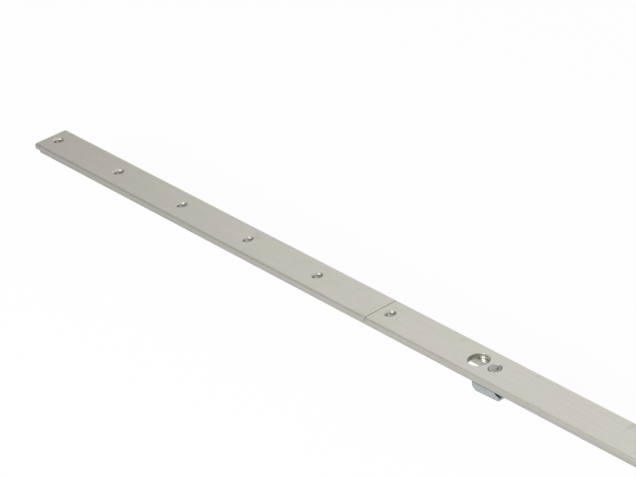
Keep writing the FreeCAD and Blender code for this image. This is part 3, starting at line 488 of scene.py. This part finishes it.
def make_strip_material():
    """Satin plated strip: rolling grain, tinted patches, smudges, scratches, and painted shade in its hollows
    and on the faces that turn away from the top.
    """
    material, tree, place = new_material("plated_strip")
    grain = add_pattern(tree, "grain", 2, place, Width=sizes().grain_width, Length=sizes().grain_length)
    tint = add_pattern(
        tree, "tint", 0, place, Width=sizes().patch_width,
        Base=finish().strip_warm, First=finish().strip_green, Second=finish().strip_pink,
    )
    marks = add_pattern(tree, "marks", -2, place, Width=16 * MM)
    edge = add_pattern(tree, "edge", -4, place, Radius=sizes().edge_width, Chatter=4 * MM)
    recess = add_pattern(tree, "recess", -6, Distance=1.2 * MM)
    # colour: lines and bands of the rolling, smudges, then worn edges, painted shade in the hollows, and
    # painted shade on the rounded edges and sides, darker the further a face turns from the top
    fine = add_range(tree, grain["Fine"], span=(0.3, 0.7), place=(-2, 2))
    lined = add_dark_tone(tree, tint["Color"], fine, (0, 2), share=0.10)
    broad = add_range(tree, grain["Broad"], span=(0.35, 0.7), ends=(0.0, 0.09), place=(-2, 1))
    banded = add_dark_tone(tree, lined, broad, (1, 2))
    smudged = add_share(tree, marks["Smudges"], share=0.16, place=(0, -1))
    marked = add_dark_tone(tree, banded, smudged, (2, 2))
    worn = add_share(tree, edge["Edge"], share=0.15, place=(0, -6))
    # painted shade: hollows and inner corners darkened by their occlusion
    recess_shade = add_share(tree, recess["Recess"], share=0.6, place=(0, -5))
    # painted shade: rounded edges and sides darkened by how far they turn from the top
    facing = add_node(tree, "ShaderNodeTexCoord", (-5, -8)).outputs["Normal"]
    tilt = add_node(tree, "ShaderNodeSeparateXYZ", (-4, -8), {0: facing}).outputs
    level = add_math(tree, "ABSOLUTE", tilt[2], place=(-3, -8))
    turned_face_shade = add_range(tree, level, span=(0.99, 0.6), ends=(0.0, 0.28), place=(-2, -8))
    worn_and_shaded = add_highest(tree, (worn, recess_shade, turned_face_shade), (1, -6))
    colour = add_dark_tone(tree, marked, worn_and_shaded, (4, 2))
    # roughness: lines spread it about its level, smudges dull it and scratches shine
    spread = 0.12
    lines = add_share(tree, fine, spread, (0, 4))
    rough = add_math(tree, "ADD", lines, finish().strip_rough - spread / 2, (1, 4))
    dull = add_math(tree, "ADD", rough, add_share(tree, smudged, share=0.9, place=(1, -1)), (2, 4))
    shine = add_share(tree, marks["Scratches"], share=0.08, place=(2, -3))
    bright = add_math(tree, "SUBTRACT", dull, shine, (4, 4), clamp=True)
    sunk = add_share(tree, marks["Scratches"], share=0.6, place=(2, -4))
    height = add_math(tree, "SUBTRACT", grain["Fine"], sunk, (4, -3))
    feed_shader(tree, colour, bright, height, strength=0.35, distance=0.02 * MM, normal=edge["Normal"])
    return material


def make_bar_material():
    """Punched steel bar: coarser grain, darker tone and sheared edges."""
    material, tree, place = new_material("plated_bar")
    grain = add_pattern(tree, "grain", 2, place, Width=0.2 * MM, Length=6 * MM)
    marks = add_pattern(tree, "marks", -1, place, Width=7 * MM)
    edge = add_pattern(tree, "edge", -4, place, Radius=0.3 * MM, Chatter=2 * MM)
    fine = add_range(tree, grain["Fine"], span=(0.3, 0.7), ends=(0.0, 0.4), place=(-2, 2))
    lined = add_mix(tree, fine, finish().bar_colour, finish().marks_and_shade_colour, (0, 2))
    marked = add_dark_tone(tree, lined, marks["Smudges"], (2, 2), share=0.4)
    bright = add_share(tree, edge["Edge"], share=0.5, place=(2, -2))
    colour = add_mix(tree, bright, marked, finish().rivet_colour, (4, 2))
    lines = add_share(tree, fine, share=0.4, place=(0, 4))
    smooth = finish().bar_rough - 0.06
    rough = add_math(tree, "ADD", lines, smooth, (1, 4), clamp=True)
    feed_shader(tree, colour, rough, grain["Fine"], strength=0.5, distance=0.03 * MM, normal=edge["Normal"])
    return material


def make_cast_material():
    """Zinc casting: pebbled bluish grey skin with small pits, brighter where it is rubbed, with painted shade
    in its hollows.
    """
    material, tree, place = new_material("zinc_casting", metallic=0.9)
    skin = add_pattern(tree, "pebble", 2, place, Width=sizes().pebble_width)
    marks = add_pattern(tree, "marks", -1, place, Width=6 * MM)
    edge = add_pattern(tree, "edge", -4, place, Radius=0.4 * MM, Chatter=1.2 * MM)
    recess = add_pattern(tree, "recess", -6, Distance=0.9 * MM)
    tone = add_range(tree, skin["Height"], span=(0.2, 1.2), ends=(0.0, 0.4), place=(-2, 2))
    mottled = add_dark_tone(tree, finish().cast_colour, tone, (0, 2))
    pitted = add_dark_tone(tree, mottled, skin["Pits"], (1, 2), share=0.7)
    stained = add_dark_tone(tree, pitted, marks["Smudges"], (2, 2), share=0.3)
    # painted shade: hollows and inner corners darkened towards near black by their occlusion
    cast_hollow_shade = add_share(tree, recess["Recess"], share=0.35, place=(2, -4))
    hollow_shaded = add_mix(tree, cast_hollow_shade, stained, finish().hollow_shade_colour, (3, 2))
    rubbed = add_share(tree, edge["Edge"], share=0.2, place=(2, -2))
    colour = add_mix(tree, rubbed, hollow_shaded, finish().cam_colour, (4, 2))
    shine = add_share(tree, rubbed, share=0.2, place=(3, 4))
    smooth = add_math(tree, "SUBTRACT", finish().cast_rough, shine, (4, 4), clamp=True)
    pits = add_share(tree, skin["Pits"], share=0.2, place=(4, 5))
    rough = add_math(tree, "ADD", smooth, pits, (5, 4), clamp=True)
    feed_shader(tree, colour, rough, skin["Height"], strength=0.5, distance=0.07 * MM, normal=edge["Normal"])
    return material


def make_rivet_material():
    """Plated steel of rivets, posts, studs, pins and screw bushes, with light hammer and tool marks."""
    material, tree, place = new_material("plated_rivet")
    skin = add_pattern(tree, "pebble", 2, place, Width=0.9 * MM)
    edge = add_pattern(tree, "edge", -4, place, Radius=0.2 * MM, Chatter=1 * MM)
    tone = add_range(tree, skin["Height"], span=(0.1, 1.3), ends=(0.0, 0.5), place=(-2, 2))
    mottled = add_dark_tone(tree, finish().rivet_colour, tone, (0, 2))
    worn = add_share(tree, edge["Edge"], share=0.6, place=(2, -2))
    colour = add_mix(tree, worn, mottled, finish().cam_colour, (3, 2))
    smooth, dull = finish().rivet_rough - 0.08, finish().rivet_rough + 0.12
    rough = add_range(tree, skin["Height"], span=(0.0, 1.4), ends=(smooth, dull), place=(2, 4))
    feed_shader(tree, colour, rough, skin["Height"], strength=0.3, distance=0.04 * MM, normal=edge["Normal"])
    return material


def make_sinter_material():
    """Oiled sintered steel: dark, open-pored, brighter on the worn teeth."""
    material, tree, place = new_material("sintered_steel")
    skin = add_pattern(tree, "pebble", 2, place, Width=0.3 * MM)
    edge = add_pattern(tree, "edge", -4, place, Radius=0.3 * MM, Chatter=0.8 * MM)
    pored = add_mix(tree, skin["Pits"], finish().sinter_colour, finish().pore_colour, (0, 2))
    worn = add_share(tree, edge["Edge"], share=0.6, place=(2, -2))
    colour = add_mix(tree, worn, pored, finish().rivet_colour, (3, 2))
    rough = add_range(tree, skin["Height"], span=(0.0, 1.4), ends=(0.28, 0.5), place=(2, 4))
    feed_shader(tree, colour, rough, skin["Height"], strength=0.5, distance=0.04 * MM, normal=edge["Normal"])
    return material


def make_cam_material(name, centre):
    """Turned and plated steel: rings about the cam's own barrel, softened edges."""
    material, tree, place = new_material(name)
    middle = add_result(tree, "ShaderNodeMapping", (-5, 2), {"Vector": place, "Location": -centre})
    rings = add_pattern(tree, "rings", 2, middle, Pitch=sizes().ring_pitch)
    marks = add_pattern(tree, "marks", -1, place, Width=4 * MM)
    edge = add_pattern(tree, "edge", -4, place, Radius=0.3 * MM, Chatter=1.2 * MM)
    tone = add_range(tree, rings["Bands"], span=(0.35, 0.65), ends=(0.0, 0.2), place=(-2, 2))
    banded = add_dark_tone(tree, finish().cam_colour, tone, (0, 2))
    colour = add_dark_tone(tree, banded, marks["Smudges"], (2, 2), share=0.25)
    rough = add_range(tree, rings["Bands"], span=(0.3, 0.7), ends=(0.2, 0.34), place=(2, 4))
    dull = add_share(tree, marks["Smudges"], share=0.15, place=(2, 5))
    rough = add_math(tree, "ADD", rough, dull, (4, 4), clamp=True)
    feed_shader(tree, colour, rough, rings["Height"], strength=0.2, distance=0.01 * MM, normal=edge["Normal"])
    return material


def make_nylon_material():
    """Natural nylon: warm white, with faint moulding unevenness."""
    material, tree, place = new_material("natural_nylon", metallic=0.0)
    skin = add_pattern(tree, "pebble", 2, place, Width=1.2 * MM)
    tone = add_range(tree, skin["Height"], span=(0.2, 1.2), ends=(0.0, 0.15), place=(-2, 2))
    colour = add_mix(tree, tone, finish().nylon_colour, finish().nylon_shade, (0, 2))
    rough = add_range(tree, skin["Height"], span=(0.0, 1.4), ends=(0.38, 0.52), place=(2, 4))
    feed_shader(tree, colour, rough, skin["Height"], strength=0.15, distance=0.03 * MM)
    return material


def rivet_finish():
    """The one finish that rivets, posts, studs, pins and screw bushes share."""
    return bpy.data.materials.get("plated_rivet") or make_rivet_material()


def dress(material, names):
    """Give a material to CAD nodes."""
    for name in names:
        node = NODES[name]
        node.data.materials.clear()
        node.data.materials.append(material)


# Turned pieces by Geometry Nodes, with sizes and places in millimetres

# Heights above the spindle's axis of the faceplate's face and back, the tops of the splice
# rivets and of the stud washers, and the place along X where the two rods are joined
FACE, BACK, SPLICE_TOP, WASHER_TOP = 15, 12.5, 12.4, 9.3
SPLICE_MIDDLE = -110
# The dished head and the shank that guide rivets and gearbox posts share
POST_TOP = (
    ("Axis", "Dish depth"), ("Dish floor", "Dish depth"), ("Dish width", "Dish rim"),
    ("Face width", "Face below"), ("Stem width", "Head depth"), ("Stem width", "Faceplate"),
    ("Shank width", "Faceplate"), ("Shank width", "Shank end"),
)
POST_SIZES = {
    "Dish floor": 1.5, "Dish width": 3.9, "Dish depth": 0.95, "Dish rim": 0.2, "Face width": 6.1,
    "Face below": 0.05, "Head depth": 1.2, "Stem width": 4.2, "Faceplate": 2.5, "Shank width": 4.8,
    "Shank end": 5.8,
}
# Each kind has the corners of its profile as (width, depth), from one end of its axis to the
# other, their sizes, the node that it stands for, the body that carries it, the seed of its
# hammer marks, its turn in degrees about X where it has one, and the places of its copies.
TURNED = {
    "guide_rivet": {
        "corners": POST_TOP + (
            ("Block width", "Shank end"), ("Block width", "Block end"), ("Axis", "Block end"),
        ),
        "sizes": POST_SIZES | {"Block width": 3.4, "Block end": 9.4},
        "node": "guide_rivets", "body": "faceplate_set", "seed": 8,
        "places": [(-196.5, 0, FACE), (149, 0, FACE)],
    },
    "gearbox_post": {
        "corners": POST_TOP + (
            ("Stem width", "Shank end"), ("Stem width", "Foot top"), ("Foot width", "Foot top"),
            ("Foot width", "Foot end"), ("Axis", "Foot end"),
        ),
        "sizes": POST_SIZES | {"Foot width": 6.4, "Foot top": 8.4, "Foot end": 9.9},
        "node": "gearbox_posts", "body": "faceplate_set", "seed": 9,
        "places": [(-51, 0, FACE), (51, 0, FACE)],
    },
    "case_rivet": {
        "corners": (
            ("Axis", "Near end"), ("Head width", "Near end"), ("Shank width", "Near sink"),
            ("Shank width", "Far sink"), ("Head width", "Far end"), ("Axis", "Far end"),
        ),
        "sizes": {
            "Head width": 4.8, "Shank width": 3, "Near end": -6, "Near sink": -5.1, "Far sink": 5.1,
            "Far end": 6,
        },
        "node": "case_rivets", "body": "faceplate_set", "seed": 10, "turn": 90,
        "places": [(sign * x, 0, z) for x, z in ((43.5, 5.4), (29, 5.4), (17, -6.6)) for sign in (-1, 1)],
    },
    "splice_rivet": {
        "corners": (
            ("Axis", "Top"), ("Sink width", "Top"), ("Shank width", "Sink depth"), ("Shank width", "Under"),
            ("Button width", "Under"), ("Button face", "Button end"), ("Axis", "Button end"),
        ),
        "sizes": {
            "Top": 0, "Sink width": 4.6, "Shank width": 3, "Sink depth": 0.8, "Under": 4.4, "Button width": 5,
            "Button face": 4.1, "Button end": 5.3,
        },
        "node": "splice_rivets", "body": "drive_rod", "seed": 11,
        "places": [(SPLICE_MIDDLE + x, 0, SPLICE_TOP) for x in (-10.4, -4.2, 4.2, 10.4)],
    },
    "end_stud": {
        "corners": (
            ("Axis", "Top"), ("Shank width", "Top"), ("Shank width", "Washer top"),
            ("Spigot width", "Washer top"), ("Spigot width", "Washer end"), ("Peen width", "Washer end"),
            ("Peen face", "Peen end"), ("Axis", "Peen end"),
        ),
        "sizes": {
            "Top": 0, "Shank width": 4.6, "Washer top": 3.2, "Spigot width": 3.4, "Washer end": 4.2,
            "Peen width": 5, "Peen face": 3.8, "Peen end": 4.8,
        },
        "node": "end_studs", "body": "faceplate_set", "seed": 12,
        "places": [(-439, 0, BACK), (-339, 0, BACK)],
    },
    "stud_washer": {
        "corners": (
            ("Bore", "Top"), ("Width", "Top"), ("Width", "Thickness"), ("Bore", "Thickness"), ("Bore", "Top"),
        ),
        "sizes": {"Top": 0, "Width": 9.4, "Bore": 3.46, "Thickness": 1},
        "node": "stud_washers", "body": "faceplate_set", "seed": 13,
        "places": [(-439, 0, WASHER_TOP), (-339, 0, WASHER_TOP)],
    },
}
CORNER_STEPS = 3  # steps round each rounded corner
MERGE_DISTANCE = 0.002 * MM
HAMMER_SCALE = 900  # hammer marks per metre
HAMMER_MIDDLE = 0.55  # level of their noise at which the surface stays where it is
SHARP_ANGLE = math.radians(32)


def add_socket(tree, name, kind, default=None, unit=None):
    """Add a named input to a geometry tree."""
    socket = tree.interface.new_socket(name=name, in_out="INPUT", socket_type=kind)
    if unit:
        socket.subtype = unit
    if default is not None:
        socket.default_value = default


def make_turned_tree(name, corners, widths):
    """Turn a profile with rounded corners about its axis, and set a copy on every point."""
    tree = bpy.data.node_groups.new(name, "GeometryNodeTree")
    tree.interface.new_socket(name="Geometry", in_out="OUTPUT", socket_type="NodeSocketGeometry")
    add_socket(tree, "Places", "NodeSocketGeometry")
    for label, width in widths.items():
        add_socket(tree, label, VALUE, width * MM, "DISTANCE")
    add_socket(tree, "Rounding", VALUE, sizes().rivet_round, "DISTANCE")
    add_socket(tree, "Hammer marks", VALUE, sizes().rivet_wave, "DISTANCE")
    add_socket(tree, "Steps", "NodeSocketInt", sizes().rivet_steps)
    add_socket(tree, "Turn", VECTOR, (0, 0, 0), "EULER")
    add_socket(tree, "Seed", "NodeSocketInt", 0)
    add_socket(tree, "Material", "NodeSocketMaterial")
    given = add_node(tree, "NodeGroupInput", (-12, 0)).outputs
    index = add_result(tree, "GeometryNodeInputIndex", (-12, -4))
    # the profile, one point for each corner
    profile = add_node(tree, "GeometryNodeIndexSwitch", (-8, 2), {"Index": index}, data_type="VECTOR")
    while len(profile.index_switch_items) < len(corners):
        profile.index_switch_items.new()
    for number, (width, depth) in enumerate(corners):
        down = add_math(tree, "MULTIPLY", given[depth], -1.0, (-10, 9 - number))
        inputs = {2: down}
        if width != "Axis":
            inputs[0] = add_math(tree, "MULTIPLY", given[width], 0.5, (-10, 8 - number))
        point = add_result(tree, "ShaderNodeCombineXYZ", (-9, 8 - number), inputs)
        join(tree, point, profile.inputs[number + 1])
    line = add_result(tree, "GeometryNodeMeshLine", (-8, 4), {"Count": len(corners)})
    bent = add_result(
        tree, "GeometryNodeSetPosition", (-7, 3), {"Geometry": line, "Position": profile.outputs[0]}
    )
    curve = add_result(tree, "GeometryNodeMeshToCurve", (-6, 3), {0: bent})
    rounding = {"Curve": curve, "Radius": given["Rounding"], "Limit Radius": True, "Count": CORNER_STEPS}
    rounded = add_result(tree, "GeometryNodeFilletCurve", (-5, 3), rounding, mode="POLY")
    points = add_result(tree, "GeometryNodeCurveToPoints", (-4, 3), {0: rounded}, mode="EVALUATED")
    size = add_node(
        tree, "GeometryNodeAttributeDomainSize", (-3, 4), {0: points}, component="POINTCLOUD"
    )
    count = size.outputs["Point Count"]
    # the lathe: a grid with one column for each step round the axis
    columns = add_math(tree, "ADD", given["Steps"], 1.0, (-3, 1))
    grid = add_result(tree, "GeometryNodeMeshGrid", (-2, 2), {"Vertices X": columns, "Vertices Y": count})
    row = add_math(tree, "MODULO", index, count, (-3, -1))
    column = add_math(tree, "FLOOR", add_math(tree, "DIVIDE", index, count, (-4, -2)), place=(-3, -2))
    part = add_math(tree, "DIVIDE", column, given["Steps"], (-2, -2))
    angle = add_math(tree, "MULTIPLY", part, -math.tau, (-1, -2))
    position = add_result(tree, "GeometryNodeInputPosition", (-3, 0))
    spot = add_result(
        tree, "GeometryNodeSampleIndex", (-2, 0), {"Geometry": points, "Value": position, "Index": row},
        data_type="FLOAT_VECTOR", domain="POINT",
    )
    swung = add_result(
        tree, "ShaderNodeVectorRotate", (-1, 0), {"Vector": spot, "Angle": angle}, rotation_type="Z_AXIS"
    )
    turned = add_result(tree, "GeometryNodeSetPosition", (0, 2), {"Geometry": grid, "Position": swung})
    closed = add_result(
        tree, "GeometryNodeMergeByDistance", (1, 2), {"Geometry": turned, "Distance": MERGE_DISTANCE}
    )
    copies = {"Points": given["Places"], "Instance": closed, "Rotation": given["Turn"]}
    placed = add_result(tree, "GeometryNodeInstanceOnPoints", (2, 2), copies)
    whole = add_result(tree, "GeometryNodeRealizeInstances", (3, 2), {0: placed})
    # hammer marks, different on every copy
    marks = add_result(
        tree, "ShaderNodeTexNoise", (3, -1), {"W": given["Seed"], "Scale": HAMMER_SCALE, "Detail": 1},
        noise_dimensions="4D",
    )
    wave = add_math(tree, "SUBTRACT", marks, HAMMER_MIDDLE, (4, -1))
    push = add_math(tree, "MULTIPLY", wave, given["Hammer marks"], (5, -1))
    normal = add_result(tree, "GeometryNodeInputNormal", (5, -2))
    shift = add_vector_math(tree, "SCALE", normal, push, (6, -1))
    struck = add_result(tree, "GeometryNodeSetPosition", (7, 2), {"Geometry": whole, "Offset": shift})
    painted = add_result(
        tree, "GeometryNodeSetMaterial", (8, 2), {"Geometry": struck, "Material": given["Material"]}
    )
    add_node(tree, "NodeGroupOutput", (9, 2), {0: painted})
    return tree


def add_turned(kind):
    """Build the turned pieces of one kind and let them stand for their CAD node."""
    turned = TURNED[kind]
    mesh = bpy.data.meshes.new(f"{kind}_places")
    mesh.from_pydata([[part * MM for part in place] for place in turned["places"]], [], [])
    piece = bpy.data.objects.new(f"{kind}_turned", mesh)
    bpy.context.scene.collection.objects.link(piece)
    tree = make_turned_tree(f"Turned {kind.replace('_', ' ')}", turned["corners"], turned["sizes"])
    modifier = piece.modifiers.new("turned", "NODES")
    modifier.node_group = tree
    turn = (math.radians(turned.get("turn", 0)), 0, 0)
    values = {"Turn": turn, "Seed": turned["seed"], "Material": rivet_finish()}
    for item in tree.interface.items_tree:
        if item.name in values:
            modifier[item.identifier] = values[item.name]
    shape = piece.evaluated_get(bpy.context.evaluated_depsgraph_get())
    solid = bpy.data.meshes.new_from_object(shape)
    piece.modifiers.remove(modifier)
    piece.data = solid
    solid.shade_smooth()
    solid.set_sharp_from_angle(angle=SHARP_ANGLE)
    if sum_volume(solid) <= 0:
        raise RuntimeError(f"{kind} is inside out")
    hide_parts(turned["node"])
    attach(piece, turned["body"])


def sum_volume(mesh):
    """The volume that a closed mesh holds, negative where it is inside out."""
    shape = bmesh.new()
    shape.from_mesh(mesh)
    total = shape.calc_volume(signed=True)
    shape.free()
    return total


# Operators

class ESPAGNOLETTE_OT_faceplates(bpy.types.Operator):
    """Plate the two faceplates"""

    bl_idname = "espagnolette.faceplates"
    bl_label = "Faceplates"

    def execute(self, context):
        dress(make_strip_material(), ("end_faceplate", "main_faceplate"))
        return {"FINISHED"}


class ESPAGNOLETTE_OT_rods(bpy.types.Operator):
    """Plate the drive rods and their splice plate"""

    bl_idname = "espagnolette.rods"
    bl_label = "Drive rods"

    def execute(self, context):
        dress(make_bar_material(), ("end_rod", "main_rod", "rod_splice_plate"))
        return {"FINISHED"}


class ESPAGNOLETTE_OT_castings(bpy.types.Operator):
    """Give the gearbox halves and guide blocks their cast skin"""

    bl_idname = "espagnolette.castings"
    bl_label = "Castings"

    def execute(self, context):
        names = ("gearbox_case_near", "gearbox_case_far", "guide_block_left", "guide_block_right")
        dress(make_cast_material(), names)
        return {"FINISHED"}


class ESPAGNOLETTE_OT_posts(bpy.types.Operator):
    """Turn the dished guide rivets and gearbox posts"""

    bl_idname = "espagnolette.posts"
    bl_label = "Guide rivets and posts"

    def execute(self, context):
        add_turned("guide_rivet")
        add_turned("gearbox_post")
        return {"FINISHED"}


class ESPAGNOLETTE_OT_case_rivets(bpy.types.Operator):
    """Turn the six rivets that close the gearbox"""

    bl_idname = "espagnolette.case_rivets"
    bl_label = "Gearbox rivets"

    def execute(self, context):
        add_turned("case_rivet")
        return {"FINISHED"}


class ESPAGNOLETTE_OT_splice_rivets(bpy.types.Operator):
    """Turn the four rivets that join the rods"""

    bl_idname = "espagnolette.splice_rivets"
    bl_label = "Splice rivets"

    def execute(self, context):
        add_turned("splice_rivet")
        return {"FINISHED"}


class ESPAGNOLETTE_OT_studs(bpy.types.Operator):
    """Turn the studs and washers that hang the rod from the end faceplate"""

    bl_idname = "espagnolette.studs"
    bl_label = "Studs and washers"

    def execute(self, context):
        add_turned("end_stud")
        add_turned("stud_washer")
        return {"FINISHED"}


class ESPAGNOLETTE_OT_pins(bpy.types.Operator):
    """Finish the cam pins and the bushes for the handle's screws"""

    bl_idname = "espagnolette.pins"
    bl_label = "Pins and screw bushes"

    def execute(self, context):
        dress(rivet_finish(), ("cam_pin_left", "cam_pin_right", "handle_bushes"))
        return {"FINISHED"}


class ESPAGNOLETTE_OT_follower(bpy.types.Operator):
    """Finish the follower, the nylon bushes that it turns in and the cams' nylon washers"""

    bl_idname = "espagnolette.follower"
    bl_label = "Follower and bushes"

    def execute(self, context):
        dress(make_sinter_material(), ("follower",))
        names = ("bearing_bush_near", "bearing_bush_far", "cam_washer_left", "cam_washer_right")
        dress(make_nylon_material(), names)
        return {"FINISHED"}


class ESPAGNOLETTE_OT_cams(bpy.types.Operator):
    """Finish the two locking cams with turning rings about their own barrels"""

    bl_idname = "espagnolette.cams"
    bl_label = "Locking cams"

    def execute(self, context):
        for side in ("left", "right"):
            low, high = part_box(f"cam_{side}")
            dress(make_cam_material(f"turned_cam_{side}", (low + high) / 2), (f"cam_{side}",))
        return {"FINISHED"}


class ESPAGNOLETTE_OT_stage(bpy.types.Operator):
    """Set the camera, the floor, the world and the lamp"""

    bl_idname = "espagnolette.stage"
    bl_label = "Stage"

    def execute(self, context):
        add_camera(context)
        add_floor(context)
        add_world(context)
        add_softbox(context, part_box("end_faceplate")[1])
        return {"FINISHED"}


# Stage

SENSOR_WIDTH = 36  # millimetres
FLOOR_HALF_SIDE = 6
FLOOR_GAP = 0.2 * MM
FLOOR_ROUGH = 0.9
FLOOR_FALL_X = (-0.62, -0.22)  # metres, over which the mirrored floor falls off
# What metal mirrors, by the direction it looks in: parts of a unit vector over which the side
# wall's near edge, its far end and its foot are crossed, and over which the front gets lighter
WALL_EDGE_X = (-0.770, -0.710)
WALL_END_X = (-0.97, -0.89)
WALL_FOOT_Z = (0.20, 0.34)
FRONT_Y = (-0.6, 0.1)


def add_camera(context):
    """Stand the camera where the photograph was taken from."""
    data = bpy.data.cameras.new("camera")
    data.lens = stage().camera_lens
    data.sensor_width = SENSOR_WIDTH
    camera = bpy.data.objects.new("camera", data)
    camera.location = stage().camera_place
    camera.rotation_euler = Euler(stage().camera_turn, "XYZ")
    context.scene.collection.objects.link(camera)
    context.scene.camera = camera


def add_rays(tree, kinds, place):
    """Give 1 for rays of these kinds: seen directly (Camera), mirrored (Glossy) or through glass."""
    rays = add_node(tree, "ShaderNodeLightPath", place).outputs
    return add_highest(tree, [rays[f"Is {kind} Ray"] for kind in kinds], (place[0] + 1, place[1]))


def add_floor(context):
    """A pale floor that shows as white apart from the part's shadow. What metal mirrors of it falls
    off on the left."""
    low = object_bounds()[0]
    mesh = bpy.data.meshes.new("floor")
    shape = bmesh.new()
    bmesh.ops.create_grid(shape, x_segments=1, y_segments=1, size=FLOOR_HALF_SIDE)
    bmesh.ops.translate(shape, vec=(0, 0, low[2] - FLOOR_GAP), verts=shape.verts)
    shape.to_mesh(mesh)
    shape.free()
    floor = bpy.data.objects.new("floor", mesh)
    context.scene.collection.objects.link(floor)
    material, tree, place = new_material("pale_floor", metallic=0.0)
    shader = tree.nodes["Principled BSDF"]
    shader.inputs["Base Color"].default_value = (*stage().floor_colour, 1)
    shader.inputs["Roughness"].default_value = FLOOR_ROUGH
    shader.inputs["Specular IOR Level"].default_value = 0
    parts = add_node(tree, "ShaderNodeSeparateXYZ", (-5, -2), {0: place}).outputs
    drop = add_range(tree, parts[0], FLOOR_FALL_X, (stage().floor_drop, 0.0), (-4, -2))
    dim = add_math(tree, "MULTIPLY", drop, add_rays(tree, ("Glossy",), (-4, -4)), (-3, -2))
    strength = add_math(tree, "SUBTRACT", 1.0, dim, (-2, -2))
    white = add_result(tree, "ShaderNodeEmission", (6, -3), {"Color": WHITE, "Strength": strength})
    shown = add_rays(tree, ("Camera", "Transmission", "Glossy"), (-6, 2))
    share = add_share(tree, shown, stage().floor_share, (6, 3))
    mixed = add_result(tree, "ShaderNodeMixShader", (9, 0), {0: share, 1: shader.outputs[0], 2: white})
    join(tree, mixed, tree.nodes["Material Output"].inputs["Surface"])
    mesh.materials.append(material)
    floor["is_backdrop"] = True


def add_world(context):
    """Plain light and a white backdrop. Metal mirrors a dim side wall on the left, which is lit again
    past its end and below it, and a somewhat dimmer front."""
    world = bpy.data.worlds.new("world")
    world.use_nodes = True
    tree = world.node_tree
    direction = add_node(tree, "ShaderNodeTexCoord", (-6, -2)).outputs["Generated"]
    parts = add_node(tree, "ShaderNodeSeparateXYZ", (-5, -2), {0: direction}).outputs
    side = add_range(tree, parts[0], WALL_EDGE_X, place=(-4, -2))
    beyond = add_range(tree, parts[0], WALL_END_X, (stage().wall_end, 0.0), (-4, -1))
    below = add_range(tree, parts[2], WALL_FOOT_Z, (stage().wall_end, 0.0), (-4, 0))
    lit = add_highest(tree, (side, beyond, below), (-3, -1))
    wall = add_mix(tree, lit, stage().wall_colour, WHITE, (-1, -2))
    front = add_range(tree, parts[1], FRONT_Y, (stage().front_level, 1.0), (-4, -3))
    studio = add_vector_math(tree, "SCALE", wall, front, (0, -2))
    level = (stage().world_level,) * 3
    mirrored = add_mix(tree, add_rays(tree, ("Glossy",), (-6, 1)), level, studio, (1, 0))
    seen = add_rays(tree, ("Camera", "Transmission"), (-6, 2))
    join(tree, add_mix(tree, seen, mirrored, WHITE, (2, 0)), tree.nodes["Background"].inputs["Color"])
    context.scene.world = world
    context.scene.view_settings.view_transform = "Standard"


def add_softbox(context, target):
    """A square softbox low in front, which looks at a target."""
    data = bpy.data.lights.new("key_softbox", "AREA")
    data.size = stage().key_width
    data.energy = stage().key_power
    lamp = bpy.data.objects.new("key_softbox", data)
    lamp.location = stage().key_place
    lamp.rotation_euler = (target - lamp.location).to_track_quat("-Z", "Y").to_euler()
    context.scene.collection.objects.link(lamp)


# Panel and registration

PIECES = (
    ESPAGNOLETTE_OT_faceplates, ESPAGNOLETTE_OT_rods, ESPAGNOLETTE_OT_castings, ESPAGNOLETTE_OT_posts,
    ESPAGNOLETTE_OT_case_rivets, ESPAGNOLETTE_OT_splice_rivets, ESPAGNOLETTE_OT_studs,
    ESPAGNOLETTE_OT_pins, ESPAGNOLETTE_OT_follower, ESPAGNOLETTE_OT_cams, ESPAGNOLETTE_OT_stage,
)


class ESPAGNOLETTE_PT_panel(bpy.types.Panel):
    """Lists the finishes and their sizes and colours"""

    bl_idname = "ESPAGNOLETTE_PT_panel"
    bl_label = "Espagnolette"
    bl_space_type = "VIEW_3D"
    bl_region_type = "UI"
    bl_category = "Espagnolette"

    def draw(self, context):
        for piece in PIECES:
            self.layout.operator(piece.bl_idname)
        for settings in (finish(), sizes(), stage()):
            box = self.layout.box()
            for name in settings.bl_rna.properties.keys():
                if name not in ("rna_type", "name"):
                    box.prop(settings, name)


SETTINGS = {
    "espagnolette_finish": EspagnoletteFinish, "espagnolette_sizes": EspagnoletteSizes,
    "espagnolette_stage": EspagnoletteStage,
}
CLASSES = (*SETTINGS.values(), *PIECES, ESPAGNOLETTE_PT_panel)


def register():
    """Register the classes and give the scene its settings."""
    for kind in CLASSES:
        bpy.utils.register_class(kind)
    for name, kind in SETTINGS.items():
        setattr(bpy.types.Scene, name, bpy.props.PointerProperty(type=kind))


def unregister():
    """Take the settings and the classes away again."""
    for name in reversed(SETTINGS):
        delattr(bpy.types.Scene, name)
    for kind in reversed(CLASSES):
        bpy.utils.unregister_class(kind)


def main():
    """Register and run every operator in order."""
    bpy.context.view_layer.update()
    register()
    for piece in PIECES:
        group, name = piece.bl_idname.split(".")
        getattr(getattr(bpy.ops, group), name)()


if __name__ == "__main__":
    main()
